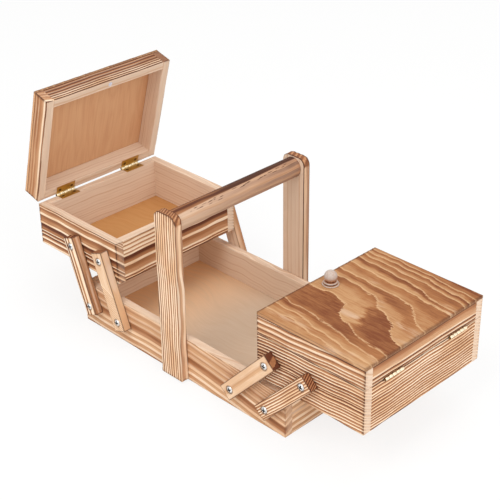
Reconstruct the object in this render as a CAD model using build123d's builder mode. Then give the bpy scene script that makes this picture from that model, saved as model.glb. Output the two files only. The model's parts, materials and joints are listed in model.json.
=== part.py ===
from build123d import *
from math import asin, cos, degrees, radians, sin
import os

# A sewing carrier in pine: an open tray with a carrying handle, and two lidded boxes
# that swing out level on four wooden arms each. Lengths are in millimetres, angles in
# degrees. +X runs along the tray, +Y to its far side, +Z up. The origin is the centre
# of the tray's underside. The left box is shown part-raised with its lid open, the
# right box swung out low with its lid shut.

# ---- stock ----
BOARD = 9.5  # thickness of the side boards, the arms and the uprights
EASE = 0.6  # rounding along every sawn edge
THIN_EASE = 0.4  # rounding along the edges of the thin panels
RUNNING_GAP = 0.3  # between wooden faces that slide past or lie on each other

# ---- tray ----
BASE_LENGTH = 301.0
BASE_WIDTH = 168.0
BASE_HEIGHT = 48.0
BASE_FLOOR = 12.0

# ---- handle ----
UPRIGHT_WIDTH = 30.0
UPRIGHT_TOP = 188.5
UPRIGHT_FOOT = 1.5  # height of the uprights' lower ends above the ground
UPRIGHT_CORNER = 8.0
CROSSBAR_RADIUS = 11.0
CROSSBAR_DROP = 1.25  # from the uprights' tops down to the crossbar's top
DOWEL_RADIUS = 2.0
DOWEL_LENGTH = 14.0  # half of it in each of the two pieces that it joins
DOWEL_SPACING = 10.0
DOWEL_FIT = 0.02

# ---- boxes ----
BOX_LENGTH = 132.0
BOX_HEIGHT = 48.0
BOX_FLOOR = 3.0
BOX_WIDTH = BASE_WIDTH - 2 * RUNNING_GAP

# ---- lids ----
RAIL_HEIGHT = 20.0
LID_PANEL = 3.0
LEFT_LID_OPEN = 74.0
RIGHT_LID_OPEN = 0.0

# ---- swinging arms ----
ARM_PITCH = 68.6  # between an arm's two pivots
ARM_WIDTH = 17.3
ARM_END = 10.0  # from a pivot to the arm's end
ARM_CORNER = 1.5
ARM_SPACING = 46.8  # between the two arms on one side of a box
BASE_PIVOT_INSET = 65.5  # from the tray's end to the inner arm's lower pivot
BASE_PIVOT_Z = 28.0
BOX_PIVOT_INSET = 18.8  # from a box's inner end to its inner pivot
BOX_PIVOT_Z = 24.0  # above the box's underside
LEFT_LEAN = 69.4  # an arm's angle above the outward horizontal
RIGHT_LEAN = 46.8

# ---- pivot screws ----
SCREW_RADIUS = 2.0
SCREW_BITE = 8.0  # length that is driven into a side board
SCREW_TIP = 2.5
HEAD_RADIUS = 3.7
HEAD_HEIGHT = 2.2
HEAD_RIM = 0.5
RECESS_RADIUS = 4.4
RECESS_DEPTH = 1.6
CROSS_SPAN = 4.4
CROSS_WIDTH = 1.0
CROSS_DEPTH = 1.3
PIVOT_FIT = 0.05  # radial, where an arm turns on its screw
LOOSE_FIT = 0.3  # radial, in the upper holes of the arms that only follow
HEAD_LIFT = 0.1  # between a screw's head and the floor of its recess

# ---- butt hinges ----
HINGE_LENGTH = 25.0
HINGE_PLACE = 46.0  # from the box's middle to a hinge's middle
HINGE_OUTSET = 1.1  # from the box's end face to the hinge's axis
LEAF_THICKNESS = 0.8
LEAF_SHORTFALL = 0.3  # between a leaf's edge and the board's inner face
KNUCKLE_RADIUS = 1.6
KNUCKLES = 5
KNUCKLE_GAP = 0.25
MORTISE_GAP = 0.1
HINGE_PIN_RADIUS = 0.75
HINGE_PIN_HEAD = 0.4  # how much the head is wider, and how far it stands out
HINGE_PIN_FIT = 0.05
NAIL_RADIUS = 0.6
NAIL_HEAD_RADIUS = 1.3
NAIL_HEAD_HEIGHT = 0.4
NAIL_LENGTH = 7.0
NAIL_SPACING = 16.0
NAIL_FIT = 0.05

# ---- magnets and knobs ----
MAGNET_RADIUS = 2.5
MAGNET_DEPTH = 3.0
MAGNET_FIT = 0.05
KNOB_INSET = 16.0  # from the lid's inner end to the knob's middle
KNOB_FOOT_RADIUS = 8.4
KNOB_FOOT_HEIGHT = 0.9
KNOB_GROOVE_RADIUS = 5.6
KNOB_COLLAR_RADIUS = 6.8
KNOB_COLLAR_LOW = 2.0
KNOB_COLLAR_HIGH = 3.2
KNOB_NECK_RADIUS = 4.6
KNOB_BALL_RADIUS = 6.4
KNOB_BALL_CENTRE = 8.4
KNOB_SCREW_RADIUS = 1.5
KNOB_SCREW_LENGTH = 9.0
KNOB_SCREW_HEAD_RADIUS = 3.0
KNOB_SCREW_HEAD_HEIGHT = 1.5
KNOB_SCREW_FIT = 0.05

# ---- what follows from them ----
BASE_INNER_X = BASE_LENGTH / 2 - BOARD
BASE_INNER_Y = BASE_WIDTH / 2 - BOARD
BOX_INNER_X = BOX_LENGTH - BOARD
BOX_INNER_Y = BOX_WIDTH / 2 - BOARD
LID_UNDERSIDE = BOX_HEIGHT + RUNNING_GAP
PANEL_UNDERSIDE = LID_UNDERSIDE + RAIL_HEIGHT
LID_TOP = PANEL_UNDERSIDE + LID_PANEL
CROSSBAR_Z = UPRIGHT_TOP - CROSSBAR_DROP - CROSSBAR_RADIUS
BASE_PIVOT_X = BASE_LENGTH / 2 - BASE_PIVOT_INSET
HINGE_AXIS_X = BOX_LENGTH + HINGE_OUTSET
HINGE_AXIS_Z = BOX_HEIGHT + RUNNING_GAP / 2
ARM_INNER_Y = BASE_WIDTH / 2 + RUNNING_GAP
SLIDE = 1.0  # how far a cut runs on past the face that it opens into
SIDES = (("near", -1), ("far", 1))
FACE_UP = (0, 0, 1)
FACE_DOWN = (0, 0, -1)


def local_plane(plane, origin, z_dir=FACE_UP):
    """The plane at a point of another plane's frame, facing a direction of that frame."""
    return Plane(plane.location * Plane(origin=origin, z_dir=z_dir).location)


def add_plank(piece, low, high, plane=Plane.XY, ease=EASE):
    """Adds a straight board between two corners of the plane's frame, and eases its edges."""
    length, width, height = (end - start for start, end in zip(low, high))
    with BuildSketch(plane.offset(low[2])) as outline:
        with Locations((low[0] + length / 2, low[1] + width / 2)):
            Rectangle(length, width)
    extrude(outline.sketch, amount=height)
    fillet(piece.edges(), radius=ease)


def cut_block(low, high, plane=Plane.XY):
    """Cuts away everything between two corners of the plane's frame."""
    length, width, height = (end - start for start, end in zip(low, high))
    with BuildSketch(plane.offset(low[2])) as outline:
        with Locations((low[0] + length / 2, low[1] + width / 2)):
            Rectangle(length, width)
    extrude(outline.sketch, amount=height, mode=Mode.SUBTRACT)


def round_bar(mouth, radius, length, mode=Mode.ADD):
    """Adds or cuts a round bar that starts on a plane and runs along its normal."""
    with BuildSketch(mouth) as outline:
        Circle(radius)
    extrude(outline.sketch, amount=length, mode=mode)


def drill(point, into, radius, depth, plane=Plane.XY):
    """Cuts a round hole from a point of the plane's frame, in a direction of that frame."""
    round_bar(local_plane(plane, point, into), radius, depth, Mode.SUBTRACT)


def turned_plane(seat):
    """The plane on which the profile of a turned piece is drawn: X is radius, Y is height."""
    return Plane(origin=seat.origin, x_dir=seat.x_dir, z_dir=-seat.y_dir)


def add_turned(seat, steps):
    """Adds a turned piece with straight steps, given as (radius, height) pairs up its side."""
    axis_ends = [(0, steps[0][1])]
    if steps[-1][0] > 0:
        axis_ends.insert(0, (0, steps[-1][1]))
    with BuildSketch(turned_plane(seat)) as profile:
        with BuildLine():
            Polyline(*steps, *axis_ends, close=True)
        make_face()
    revolve(profile.sketch, axis=Axis(seat.origin, seat.z_dir))


def add_pivot_screw(seat):
    """Adds a cross-slot screw whose head bears on the seat plane and faces its normal."""
    shank = RECESS_FLOOR_TO_BOARD + SCREW_BITE
    with BuildSketch(turned_plane(seat)) as profile:
        with BuildLine():
            rim = (HEAD_RADIUS, HEAD_RIM)
            crown = (0, HEAD_HEIGHT)
            Polyline((0, -shank), (SCREW_RADIUS, SCREW_TIP - shank), (SCREW_RADIUS, 0))
            Polyline((SCREW_RADIUS, 0), (HEAD_RADIUS, 0), rim)
            TangentArc(crown, rim, tangent=(1, 0))
            Line(crown, (0, -shank))
        make_face()
    revolve(profile.sketch, axis=Axis(seat.origin, seat.z_dir))
    with BuildSketch(seat.offset(HEAD_HEIGHT)) as cross:
        Rectangle(CROSS_SPAN, CROSS_WIDTH)
        Rectangle(CROSS_WIDTH, CROSS_SPAN)
    extrude(cross.sketch, amount=-CROSS_DEPTH, mode=Mode.SUBTRACT)


def save(piece, name):
    """Labels a finished piece and writes it under its name."""
    piece.part.label = name
    export_step(piece.part, f"parts/{name}.step")


RECESS_FLOOR_Y = ARM_INNER_Y + BOARD - RECESS_DEPTH
RECESS_FLOOR_TO_BOARD = RECESS_FLOOR_Y + HEAD_LIFT - BASE_WIDTH / 2

os.makedirs("parts", exist_ok=True)

# ---- tray ----
lower_pivots = [
    (side * (BASE_PIVOT_X + step), BASE_PIVOT_Z)
    for side in (-1, 1)
    for step in (0, ARM_SPACING)
]
foot_dowels = [(0, BASE_HEIGHT / 2 + rise) for rise in (-DOWEL_SPACING / 2, DOWEL_SPACING / 2)]
bar_dowels = [(0, CROSSBAR_Z + rise) for rise in (-DOWEL_SPACING / 2, DOWEL_SPACING / 2)]

for name, y_sign in SIDES:
    outer_y = y_sign * BASE_WIDTH / 2
    inner_y = y_sign * BASE_INNER_Y
    with BuildPart() as long_board:
        add_plank(
            long_board,
            (-BASE_LENGTH / 2, min(outer_y, inner_y), 0),
            (BASE_LENGTH / 2, max(outer_y, inner_y), BASE_HEIGHT),
        )
        for x, z in lower_pivots:
            drill((x, outer_y, z), (0, -y_sign, 0), SCREW_RADIUS + PIVOT_FIT, SCREW_BITE)
        for x, z in foot_dowels:
            drill((x, outer_y, z), (0, -y_sign, 0), DOWEL_RADIUS + DOWEL_FIT, DOWEL_LENGTH / 2)
    save(long_board, f"base_{name}_board")

for name, x_sign in (("left", -1), ("right", 1)):
    outer_x = x_sign * BASE_LENGTH / 2
    inner_x = x_sign * BASE_INNER_X
    with BuildPart() as end_board:
        add_plank(
            end_board,
            (min(outer_x, inner_x), -BASE_INNER_Y, 0),
            (max(outer_x, inner_x), BASE_INNER_Y, BASE_HEIGHT),
        )
    save(end_board, f"base_{name}_board")

with BuildPart() as base_floor_panel:
    add_plank(
        base_floor_panel,
        (-BASE_INNER_X, -BASE_INNER_Y, 0),
        (BASE_INNER_X, BASE_INNER_Y, BASE_FLOOR),
        ease=THIN_EASE,
    )
save(base_floor_panel, "base_floor_panel")

# ---- handle ----
for name, y_sign in SIDES:
    face = Plane(
        origin=(0, y_sign * BASE_WIDTH / 2, UPRIGHT_FOOT), x_dir=(1, 0, 0), z_dir=(0, y_sign, 0)
    )
    rise = 1 if face.y_dir.Z > 0 else -1
    upright_height = UPRIGHT_TOP - UPRIGHT_FOOT
    with BuildPart() as upright:
        with BuildSketch(face) as outline:
            with Locations((0, rise * upright_height / 2)):
                Rectangle(UPRIGHT_WIDTH, upright_height)
            top_corners = outline.vertices().sort_by(Axis.Z)[-2:]
            fillet(top_corners, radius=UPRIGHT_CORNER)
        extrude(amount=BOARD)
        fillet(upright.edges(), radius=EASE)
        for x, z in foot_dowels + bar_dowels:
            drill(
                (x, y_sign * BASE_WIDTH / 2, z),
                (0, y_sign, 0),
                DOWEL_RADIUS + DOWEL_FIT,
                DOWEL_LENGTH / 2,
            )
    save(upright, f"{name}_upright")

with BuildPart() as handle_crossbar:
    middle = (0, -BASE_WIDTH / 2, CROSSBAR_Z)
    with BuildSketch(Plane(origin=middle, x_dir=(1, 0, 0), z_dir=(0, 1, 0))):
        Circle(CROSSBAR_RADIUS)
    extrude(amount=BASE_WIDTH)
    for name, y_sign in SIDES:
        for x, z in bar_dowels:
            drill(
                (x, y_sign * BASE_WIDTH / 2, z),
                (0, -y_sign, 0),
                DOWEL_RADIUS + DOWEL_FIT,
                DOWEL_LENGTH / 2,
            )
save(handle_crossbar, "handle_crossbar")

with BuildPart() as handle_dowels:
    for name, y_sign in SIDES:
        for x, z in foot_dowels + bar_dowels:
            start = (x, y_sign * (BASE_WIDTH / 2 - DOWEL_LENGTH / 2), z)
            round_bar(local_plane(Plane.XY, start, (0, y_sign, 0)), DOWEL_RADIUS, DOWEL_LENGTH)
save(handle_dowels, "handle_dowels")

for name, x_sign in (("left", -1), ("right", 1)):
    with BuildPart() as lower_screws:
        for side, y_sign in SIDES:
            for step in (0, ARM_SPACING):
                x = x_sign * (BASE_PIVOT_X + step)
                point = (x, y_sign * (RECESS_FLOOR_Y + HEAD_LIFT), BASE_PIVOT_Z)
                add_pivot_screw(local_plane(Plane.XY, point, (0, y_sign, 0)))
    save(lower_screws, f"{name}_lower_screws")

# ---- arms ----
for name, x_sign, lean in (("left", -1, LEFT_LEAN), ("right", 1, RIGHT_LEAN)):
    for side, y_sign in SIDES:
        for place, step in (("inner", 0), ("outer", ARM_SPACING)):
            # The near inner arm carries its box. The other three follow it, and their
            # upper holes are wider.
            carries = (side, place) == ("near", "inner")
            upper_fit = PIVOT_FIT if carries else LOOSE_FIT
            along = Plane(
                origin=(x_sign * (BASE_PIVOT_X + step), y_sign * ARM_INNER_Y, BASE_PIVOT_Z),
                x_dir=(x_sign * cos(radians(lean)), 0, sin(radians(lean))),
                z_dir=(0, y_sign, 0),
            )
            recess = along.offset(BOARD - RECESS_DEPTH)
            with BuildPart() as arm:
                with BuildSketch(along) as outline:
                    with Locations((ARM_PITCH / 2, 0)):
                        RectangleRounded(ARM_PITCH + 2 * ARM_END, ARM_WIDTH, ARM_CORNER)
                extrude(amount=BOARD)
                fillet(arm.edges().group_by(Axis.Y)[0], radius=EASE)
                fillet(arm.edges().group_by(Axis.Y)[-1], radius=EASE)
                for reach, fit in ((0, PIVOT_FIT), (ARM_PITCH, upper_fit)):
                    with BuildSketch(along) as hole:
                        with Locations((reach, 0)):
                            Circle(SCREW_RADIUS + fit)
                    extrude(hole.sketch, amount=BOARD, mode=Mode.SUBTRACT)
                    with BuildSketch(recess) as sink:
                        with Locations((reach, 0)):
                            Circle(RECESS_RADIUS)
                    extrude(sink.sketch, amount=RECESS_DEPTH, mode=Mode.SUBTRACT)
            save(arm, f"{name}_{side}_{place}_arm")


# ---- boxes and lids ----
def add_leaf(plane, y_mid, up, own_knuckles):
    """Adds one hinge leaf, with its knuckles. up is -1 on a box and 1 on a lid."""
    near_face = HINGE_AXIS_Z + up * RUNNING_GAP / 2
    far_face = near_face + up * LEAF_THICKNESS
    low, high = min(near_face, far_face), max(near_face, far_face)
    edge = BOX_INNER_X + LEAF_SHORTFALL
    clear_x = HINGE_AXIS_X - KNUCKLE_RADIUS - KNUCKLE_GAP
    pitch = HINGE_LENGTH / KNUCKLES
    with BuildSketch(plane.offset(low)) as plate:
        with Locations(((edge + clear_x) / 2, y_mid)):
            Rectangle(clear_x - edge, HINGE_LENGTH)
        for number in own_knuckles:
            y = y_mid - HINGE_LENGTH / 2 + pitch * (number + 0.5)
            with Locations(((clear_x + HINGE_AXIS_X) / 2, y)):
                Rectangle(HINGE_AXIS_X - clear_x, pitch - KNUCKLE_GAP)
    extrude(plate.sketch, amount=high - low)
    for number in own_knuckles:
        start = y_mid - HINGE_LENGTH / 2 + pitch * number + KNUCKLE_GAP / 2
        seat = local_plane(plane, (HINGE_AXIS_X, start, HINGE_AXIS_Z), (0, 1, 0))
        round_bar(seat, KNUCKLE_RADIUS, pitch - KNUCKLE_GAP)
    start = (HINGE_AXIS_X, y_mid - HINGE_LENGTH / 2, HINGE_AXIS_Z)
    drill(start, (0, 1, 0), HINGE_PIN_RADIUS + HINGE_PIN_FIT, HINGE_LENGTH, plane)
    for x, y in nail_places(y_mid):
        mouth = (x, y, near_face)
        drill(mouth, (0, 0, up), NAIL_RADIUS + NAIL_FIT, LEAF_THICKNESS, plane)
        drill(mouth, (0, 0, up), NAIL_HEAD_RADIUS + NAIL_FIT, NAIL_HEAD_HEIGHT, plane)


def nail_places(y_mid):
    """Where the two nails of a leaf go: halfway across the board, each side of the middle."""
    x = BOX_LENGTH - BOARD / 2
    return [(x, y_mid + side * NAIL_SPACING / 2) for side in (-1, 1)]


def add_nails(plane, up):
    """Adds the nails of both hinges on a box or a lid, their heads flush with the leaf."""
    face = HINGE_AXIS_Z + up * RUNNING_GAP / 2
    for y_mid in (-HINGE_PLACE, HINGE_PLACE):
        for x, y in nail_places(y_mid):
            seat = local_plane(plane, (x, y, face), (0, 0, up))
            add_turned(
                seat,
                (
                    (NAIL_HEAD_RADIUS, 0),
                    (NAIL_HEAD_RADIUS, NAIL_HEAD_HEIGHT),
                    (NAIL_RADIUS, NAIL_HEAD_HEIGHT),
                    (NAIL_RADIUS, NAIL_LENGTH - 2 * NAIL_RADIUS),
                    (0, NAIL_LENGTH),
                ),
            )


def cut_hinge_seats(plane, up):
    """Cuts the mortises, the knuckles' clearance and the nail holes of a box or a lid."""
    face = HINGE_AXIS_Z + up * RUNNING_GAP / 2
    depth = LEAF_THICKNESS + MORTISE_GAP
    half = HINGE_LENGTH / 2 + MORTISE_GAP
    low, high = sorted((face - up * SLIDE, face + up * depth))
    for y_mid in (-HINGE_PLACE, HINGE_PLACE):
        cut_block(
            (BOX_INNER_X - SLIDE, y_mid - half, low),
            (BOX_LENGTH + SLIDE, y_mid + half, high),
            plane,
        )
        start = (HINGE_AXIS_X, y_mid - half, HINGE_AXIS_Z)
        drill(start, (0, 1, 0), KNUCKLE_RADIUS + RUNNING_GAP, 2 * half, plane)
        for x, y in nail_places(y_mid):
            drill((x, y, face), (0, 0, up), NAIL_RADIUS + NAIL_FIT, NAIL_LENGTH + NAIL_FIT, plane)


def make_box(name, plane, y_mirror):
    """Makes one box in its plane's frame: X runs from its inner end outwards, Z is up."""
    for side, world_sign in SIDES:
        y_sign = world_sign * y_mirror
        outer_y = y_sign * BOX_WIDTH / 2
        inner_y = y_sign * BOX_INNER_Y
        with BuildPart() as long_board:
            add_plank(
                long_board,
                (0, min(outer_y, inner_y), 0),
                (BOX_LENGTH, max(outer_y, inner_y), BOX_HEIGHT),
                plane,
            )
            for step in (0, ARM_SPACING):
                mouth = (BOX_PIVOT_INSET + step, outer_y, BOX_PIVOT_Z)
                drill(mouth, (0, -y_sign, 0), SCREW_RADIUS + PIVOT_FIT, SCREW_BITE, plane)
        save(long_board, f"{name}_box_{side}_board")

    with BuildPart() as inner_board:
        add_plank(
            inner_board, (0, -BOX_INNER_Y, 0), (BOARD, BOX_INNER_Y, BOX_HEIGHT), plane
        )
        mouth = (BOARD / 2, 0, BOX_HEIGHT)
        drill(mouth, FACE_DOWN, MAGNET_RADIUS + MAGNET_FIT, MAGNET_DEPTH, plane)
    save(inner_board, f"{name}_box_inner_board")

    with BuildPart() as outer_board:
        add_plank(
            outer_board,
            (BOX_INNER_X, -BOX_INNER_Y, 0),
            (BOX_LENGTH, BOX_INNER_Y, BOX_HEIGHT),
            plane,
        )
        cut_hinge_seats(plane, -1)
    save(outer_board, f"{name}_box_outer_board")

    with BuildPart() as floor_panel:
        add_plank(
            floor_panel,
            (BOARD, -BOX_INNER_Y, 0),
            (BOX_INNER_X, BOX_INNER_Y, BOX_FLOOR),
            plane,
            THIN_EASE,
        )
    save(floor_panel, f"{name}_box_floor_panel")

    with BuildPart() as box_magnet:
        round_bar(
            local_plane(plane, (BOARD / 2, 0, BOX_HEIGHT - MAGNET_DEPTH)),
            MAGNET_RADIUS,
            MAGNET_DEPTH,
        )
    save(box_magnet, f"{name}_box_magnet")

    with BuildPart() as box_hinge_leaves:
        for y_mid in (-HINGE_PLACE, HINGE_PLACE):
            add_leaf(plane, y_mid, -1, range(0, KNUCKLES, 2))
    save(box_hinge_leaves, f"{name}_box_hinge_leaves")

    with BuildPart() as hinge_pins:
        for y_mid in (-HINGE_PLACE, HINGE_PLACE):
            start = (HINGE_AXIS_X, y_mid - HINGE_LENGTH / 2, HINGE_AXIS_Z)
            wide = HINGE_PIN_RADIUS + HINGE_PIN_HEAD
            add_turned(
                local_plane(plane, start, (0, 1, 0)),
                (
                    (HINGE_PIN_RADIUS, -HINGE_PIN_HEAD),
                    (wide, 0),
                    (HINGE_PIN_RADIUS, 0),
                    (HINGE_PIN_RADIUS, HINGE_LENGTH),
                    (wide, HINGE_LENGTH),
                    (HINGE_PIN_RADIUS, HINGE_LENGTH + HINGE_PIN_HEAD),
                ),
            )
    save(hinge_pins, f"{name}_hinge_pins")

    with BuildPart() as box_hinge_nails:
        add_nails(plane, -1)
    save(box_hinge_nails, f"{name}_box_hinge_nails")

    with BuildPart() as upper_screws:
        for side, y_sign in SIDES:
            for step in (0, ARM_SPACING):
                reach = BOX_PIVOT_INSET + step
                point = (reach, y_sign * (RECESS_FLOOR_Y + HEAD_LIFT), BOX_PIVOT_Z)
                add_pivot_screw(local_plane(plane, point, (0, y_sign, 0)))
    save(upper_screws, f"{name}_upper_screws")


def make_lid(name, plane, y_mirror):
    """Makes one lid in the frame of its box, which the plane has turned about the hinges."""
    for side, world_sign in SIDES:
        y_sign = world_sign * y_mirror
        outer_y = y_sign * BOX_WIDTH / 2
        inner_y = y_sign * BOX_INNER_Y
        with BuildPart() as long_rail:
            add_plank(
                long_rail,
                (0, min(outer_y, inner_y), LID_UNDERSIDE),
                (BOX_LENGTH, max(outer_y, inner_y), PANEL_UNDERSIDE),
                plane,
            )
        save(long_rail, f"{name}_lid_{side}_rail")

    with BuildPart() as inner_rail:
        add_plank(
            inner_rail,
            (0, -BOX_INNER_Y, LID_UNDERSIDE),
            (BOARD, BOX_INNER_Y, PANEL_UNDERSIDE),
            plane,
        )
        mouth = (BOARD / 2, 0, LID_UNDERSIDE)
        drill(mouth, FACE_UP, MAGNET_RADIUS + MAGNET_FIT, MAGNET_DEPTH, plane)
    save(inner_rail, f"{name}_lid_inner_rail")

    with BuildPart() as outer_rail:
        add_plank(
            outer_rail,
            (BOX_INNER_X, -BOX_INNER_Y, LID_UNDERSIDE),
            (BOX_LENGTH, BOX_INNER_Y, PANEL_UNDERSIDE),
            plane,
        )
        cut_hinge_seats(plane, 1)
    save(outer_rail, f"{name}_lid_outer_rail")

    with BuildPart() as lid_panel:
        add_plank(
            lid_panel,
            (0, -BOX_WIDTH / 2, PANEL_UNDERSIDE),
            (BOX_LENGTH, BOX_WIDTH / 2, LID_TOP),
            plane,
            THIN_EASE,
        )
        mouth = (KNOB_INSET, 0, PANEL_UNDERSIDE)
        drill(mouth, FACE_UP, KNOB_SCREW_RADIUS + KNOB_SCREW_FIT, LID_PANEL, plane)
    save(lid_panel, f"{name}_lid_panel")

    with BuildPart() as lid_magnet:
        round_bar(
            local_plane(plane, (BOARD / 2, 0, LID_UNDERSIDE)), MAGNET_RADIUS, MAGNET_DEPTH
        )
    save(lid_magnet, f"{name}_lid_magnet")

    with BuildPart() as knob:
        seat = local_plane(plane, (KNOB_INSET, 0, LID_TOP))
        neck_rise = (KNOB_BALL_RADIUS**2 - KNOB_NECK_RADIUS**2) ** 0.5
        neck_top = (KNOB_NECK_RADIUS, KNOB_BALL_CENTRE - neck_rise)
        ball_side = (KNOB_BALL_RADIUS, KNOB_BALL_CENTRE)
        ball_top = (0, KNOB_BALL_CENTRE + KNOB_BALL_RADIUS)
        with BuildSketch(turned_plane(seat)) as profile:
            with BuildLine():
                Polyline(
                    (0, 0),
                    (KNOB_FOOT_RADIUS, 0),
                    (KNOB_FOOT_RADIUS, KNOB_FOOT_HEIGHT),
                    (KNOB_GROOVE_RADIUS, KNOB_FOOT_HEIGHT),
                    (KNOB_GROOVE_RADIUS, KNOB_COLLAR_LOW),
                    (KNOB_COLLAR_RADIUS, KNOB_COLLAR_LOW),
                    (KNOB_COLLAR_RADIUS, KNOB_COLLAR_HIGH),
                    neck_top,
                )
                RadiusArc(neck_top, ball_side, -KNOB_BALL_RADIUS)
                RadiusArc(ball_side, ball_top, -KNOB_BALL_RADIUS)
                Line(ball_top, (0, 0))
            make_face()
        revolve(profile.sketch, axis=Axis(seat.origin, seat.z_dir))
        depth = KNOB_SCREW_LENGTH - LID_PANEL
        drill((KNOB_INSET, 0, LID_TOP), FACE_UP, KNOB_SCREW_RADIUS + KNOB_SCREW_FIT, depth, plane)
    save(knob, f"{name}_lid_knob")

    with BuildPart() as knob_screw:
        add_turned(
            local_plane(plane, (KNOB_INSET, 0, PANEL_UNDERSIDE)),
            (
                (KNOB_SCREW_RADIUS, -KNOB_SCREW_HEAD_HEIGHT),
                (KNOB_SCREW_HEAD_RADIUS, 0),
                (KNOB_SCREW_RADIUS, 0),
                (KNOB_SCREW_RADIUS, KNOB_SCREW_LENGTH - KNOB_SCREW_RADIUS),
                (0, KNOB_SCREW_LENGTH),
            ),
        )
    save(knob_screw, f"{name}_knob_screw")

    with BuildPart() as lid_hinge_leaves:
        for y_mid in (-HINGE_PLACE, HINGE_PLACE):
            add_leaf(plane, y_mid, 1, range(1, KNUCKLES, 2))
    save(lid_hinge_leaves, f"{name}_lid_hinge_leaves")

    with BuildPart() as lid_hinge_nails:
        add_nails(plane, 1)
    save(lid_hinge_nails, f"{name}_lid_hinge_nails")


shut_lean = degrees(asin((BASE_HEIGHT + RUNNING_GAP + BOX_PIVOT_Z - BASE_PIVOT_Z) / ARM_PITCH))
for name, x_sign, lean, lid_open in (
    ("left", -1, LEFT_LEAN, LEFT_LID_OPEN),
    ("right", 1, RIGHT_LEAN, RIGHT_LID_OPEN),
):
    inner_end = BASE_PIVOT_X + ARM_PITCH * cos(radians(lean)) - BOX_PIVOT_INSET
    underside = BASE_PIVOT_Z + ARM_PITCH * sin(radians(lean)) - BOX_PIVOT_Z
    box_plane = Plane(
        origin=(x_sign * inner_end, 0, underside), x_dir=(x_sign, 0, 0), z_dir=FACE_UP
    )
    to_hinge = Location((HINGE_AXIS_X, 0, HINGE_AXIS_Z))
    turn = Location((0, 0, 0), (0, lid_open, 0))
    lid_plane = Plane(box_plane.location * to_hinge * turn * to_hinge.inverse())
    make_box(name, box_plane, x_sign)
    make_lid(name, lid_plane, x_sign)
    print(
        f"{name} box: inner end {inner_end:.2f}, underside {underside:.2f}, "
        f"swing to low {shut_lean - lean:.2f}, swing to shut {180 - shut_lean - lean:.2f}"
    )
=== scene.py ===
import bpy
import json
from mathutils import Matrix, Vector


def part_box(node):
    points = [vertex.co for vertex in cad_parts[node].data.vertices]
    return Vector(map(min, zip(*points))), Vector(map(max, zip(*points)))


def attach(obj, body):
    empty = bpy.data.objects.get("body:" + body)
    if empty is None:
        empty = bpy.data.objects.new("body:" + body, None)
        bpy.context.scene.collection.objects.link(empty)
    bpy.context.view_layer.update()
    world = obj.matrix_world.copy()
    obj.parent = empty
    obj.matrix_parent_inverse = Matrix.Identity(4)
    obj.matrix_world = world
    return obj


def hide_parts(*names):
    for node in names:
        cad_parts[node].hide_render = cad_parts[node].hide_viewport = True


bl_info = {
    "name": "Sewing Carrier",
    "version": (1, 0, 0),
    "blender": (4, 5, 0),
    "location": "3D View > Sidebar > Sewing Carrier",
    "description": "Makes a flamed pine sewing carrier with two lidded boxes around its CAD frame",
    "category": "Add Mesh",
}

import json
import math
import random
from functools import partial

import bpy
import numpy as np
from mathutils import Matrix, Vector

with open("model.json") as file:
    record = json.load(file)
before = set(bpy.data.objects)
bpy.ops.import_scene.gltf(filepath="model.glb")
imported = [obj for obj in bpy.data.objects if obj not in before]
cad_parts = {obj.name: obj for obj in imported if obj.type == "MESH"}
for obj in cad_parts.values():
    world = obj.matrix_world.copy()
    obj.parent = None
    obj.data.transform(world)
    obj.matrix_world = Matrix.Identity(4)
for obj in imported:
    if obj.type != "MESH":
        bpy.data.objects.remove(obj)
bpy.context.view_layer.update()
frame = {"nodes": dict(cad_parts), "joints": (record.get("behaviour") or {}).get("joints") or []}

# The pieces of a box, of its lid and of its arms are shaped in a frame of their own, in
# millimetres: X runs from the box's inner end outwards, or along the arm, Y across and Z up.
# A matrix then takes them to their place in metres.
MM = 0.001
TURN = 2 * math.pi
X, Y, Z = 0, 1, 2
LOW, HIGH = -1, 1
SIDES = ("left", "right")
# As in the frame: the thickness of the boards, and the gap between a lid and its box.
BOARD = 9.5
GAP = 0.3
# The steel magnets in the rims: the radius of their hole, and a cutter twice as long as it.
MAGNET_HOLE, MAGNET_CUT = 2.55, 6
# Mesh columns along the grain that are wider or closer than usual.
TRAY_COLUMN, FLOOR_COLUMN, ARM_COLUMN = 8.0, 6.0, 1.0
# Blender cuts an edge into no more than about a hundred rows at a time.
MOST_ROWS = 90
# The brushed relief is sunk in this many levels.
LEVELS = 60
# Between these distances from a face, in millimetres, its flame and char give way.
FACE_EDGE = (0.25, 0.75)
# Two faces that meet at less than this many degrees are shaded as one.
SMOOTH_BELOW = 40


def paint(red, green, blue):
    """A colour as it is seen on a screen, 0 to 255, in Blender's linear values."""
    seen = (red / 255, green / 255, blue / 255)
    return tuple(v / 12.92 if v <= 0.04045 else ((v + 0.055) / 1.055) ** 2.4 for v in seen)


def length(name, description, default):
    """A property that holds a length, with its default in millimetres."""
    return bpy.props.FloatProperty(
        name=name, description=description, default=default * MM, unit="LENGTH", precision=5
    )


def colour(name, description, default):
    """A property that holds a colour."""
    return bpy.props.FloatVectorProperty(
        name=name, description=description, default=paint(*default), subtype="COLOR",
        size=3, min=0, max=1,
    )


class CarrierSizes(bpy.types.PropertyGroup):
    edge_ease: length("Edge ease", "Rounding along the edges of the boards", 0.6)
    panel_ease: length("Panel ease", "Rounding along the edges of the thin panels", 0.4)
    row: length("Row", "Distance between two rows of the mesh across the grain", 0.5)
    column: length("Column", "Distance between two columns of the mesh along the grain", 2.5)
    relief: length("Relief", "How deep the brush has taken the soft wood", 0.4)
    lid_relief: length("Lid relief", "How deep the lid panels are brushed", 0.3)
    arm_width: length("Arm width", "Width of a swinging arm", 17.3)
    arm_end: length("Arm end", "From an arm's pivot to its end", 10.0)
    recess_radius: length("Recess radius", "Radius of the recess round a screw head", 4.4)
    recess_depth: length("Recess depth", "Depth of the recess round a screw head", 1.6)


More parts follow.
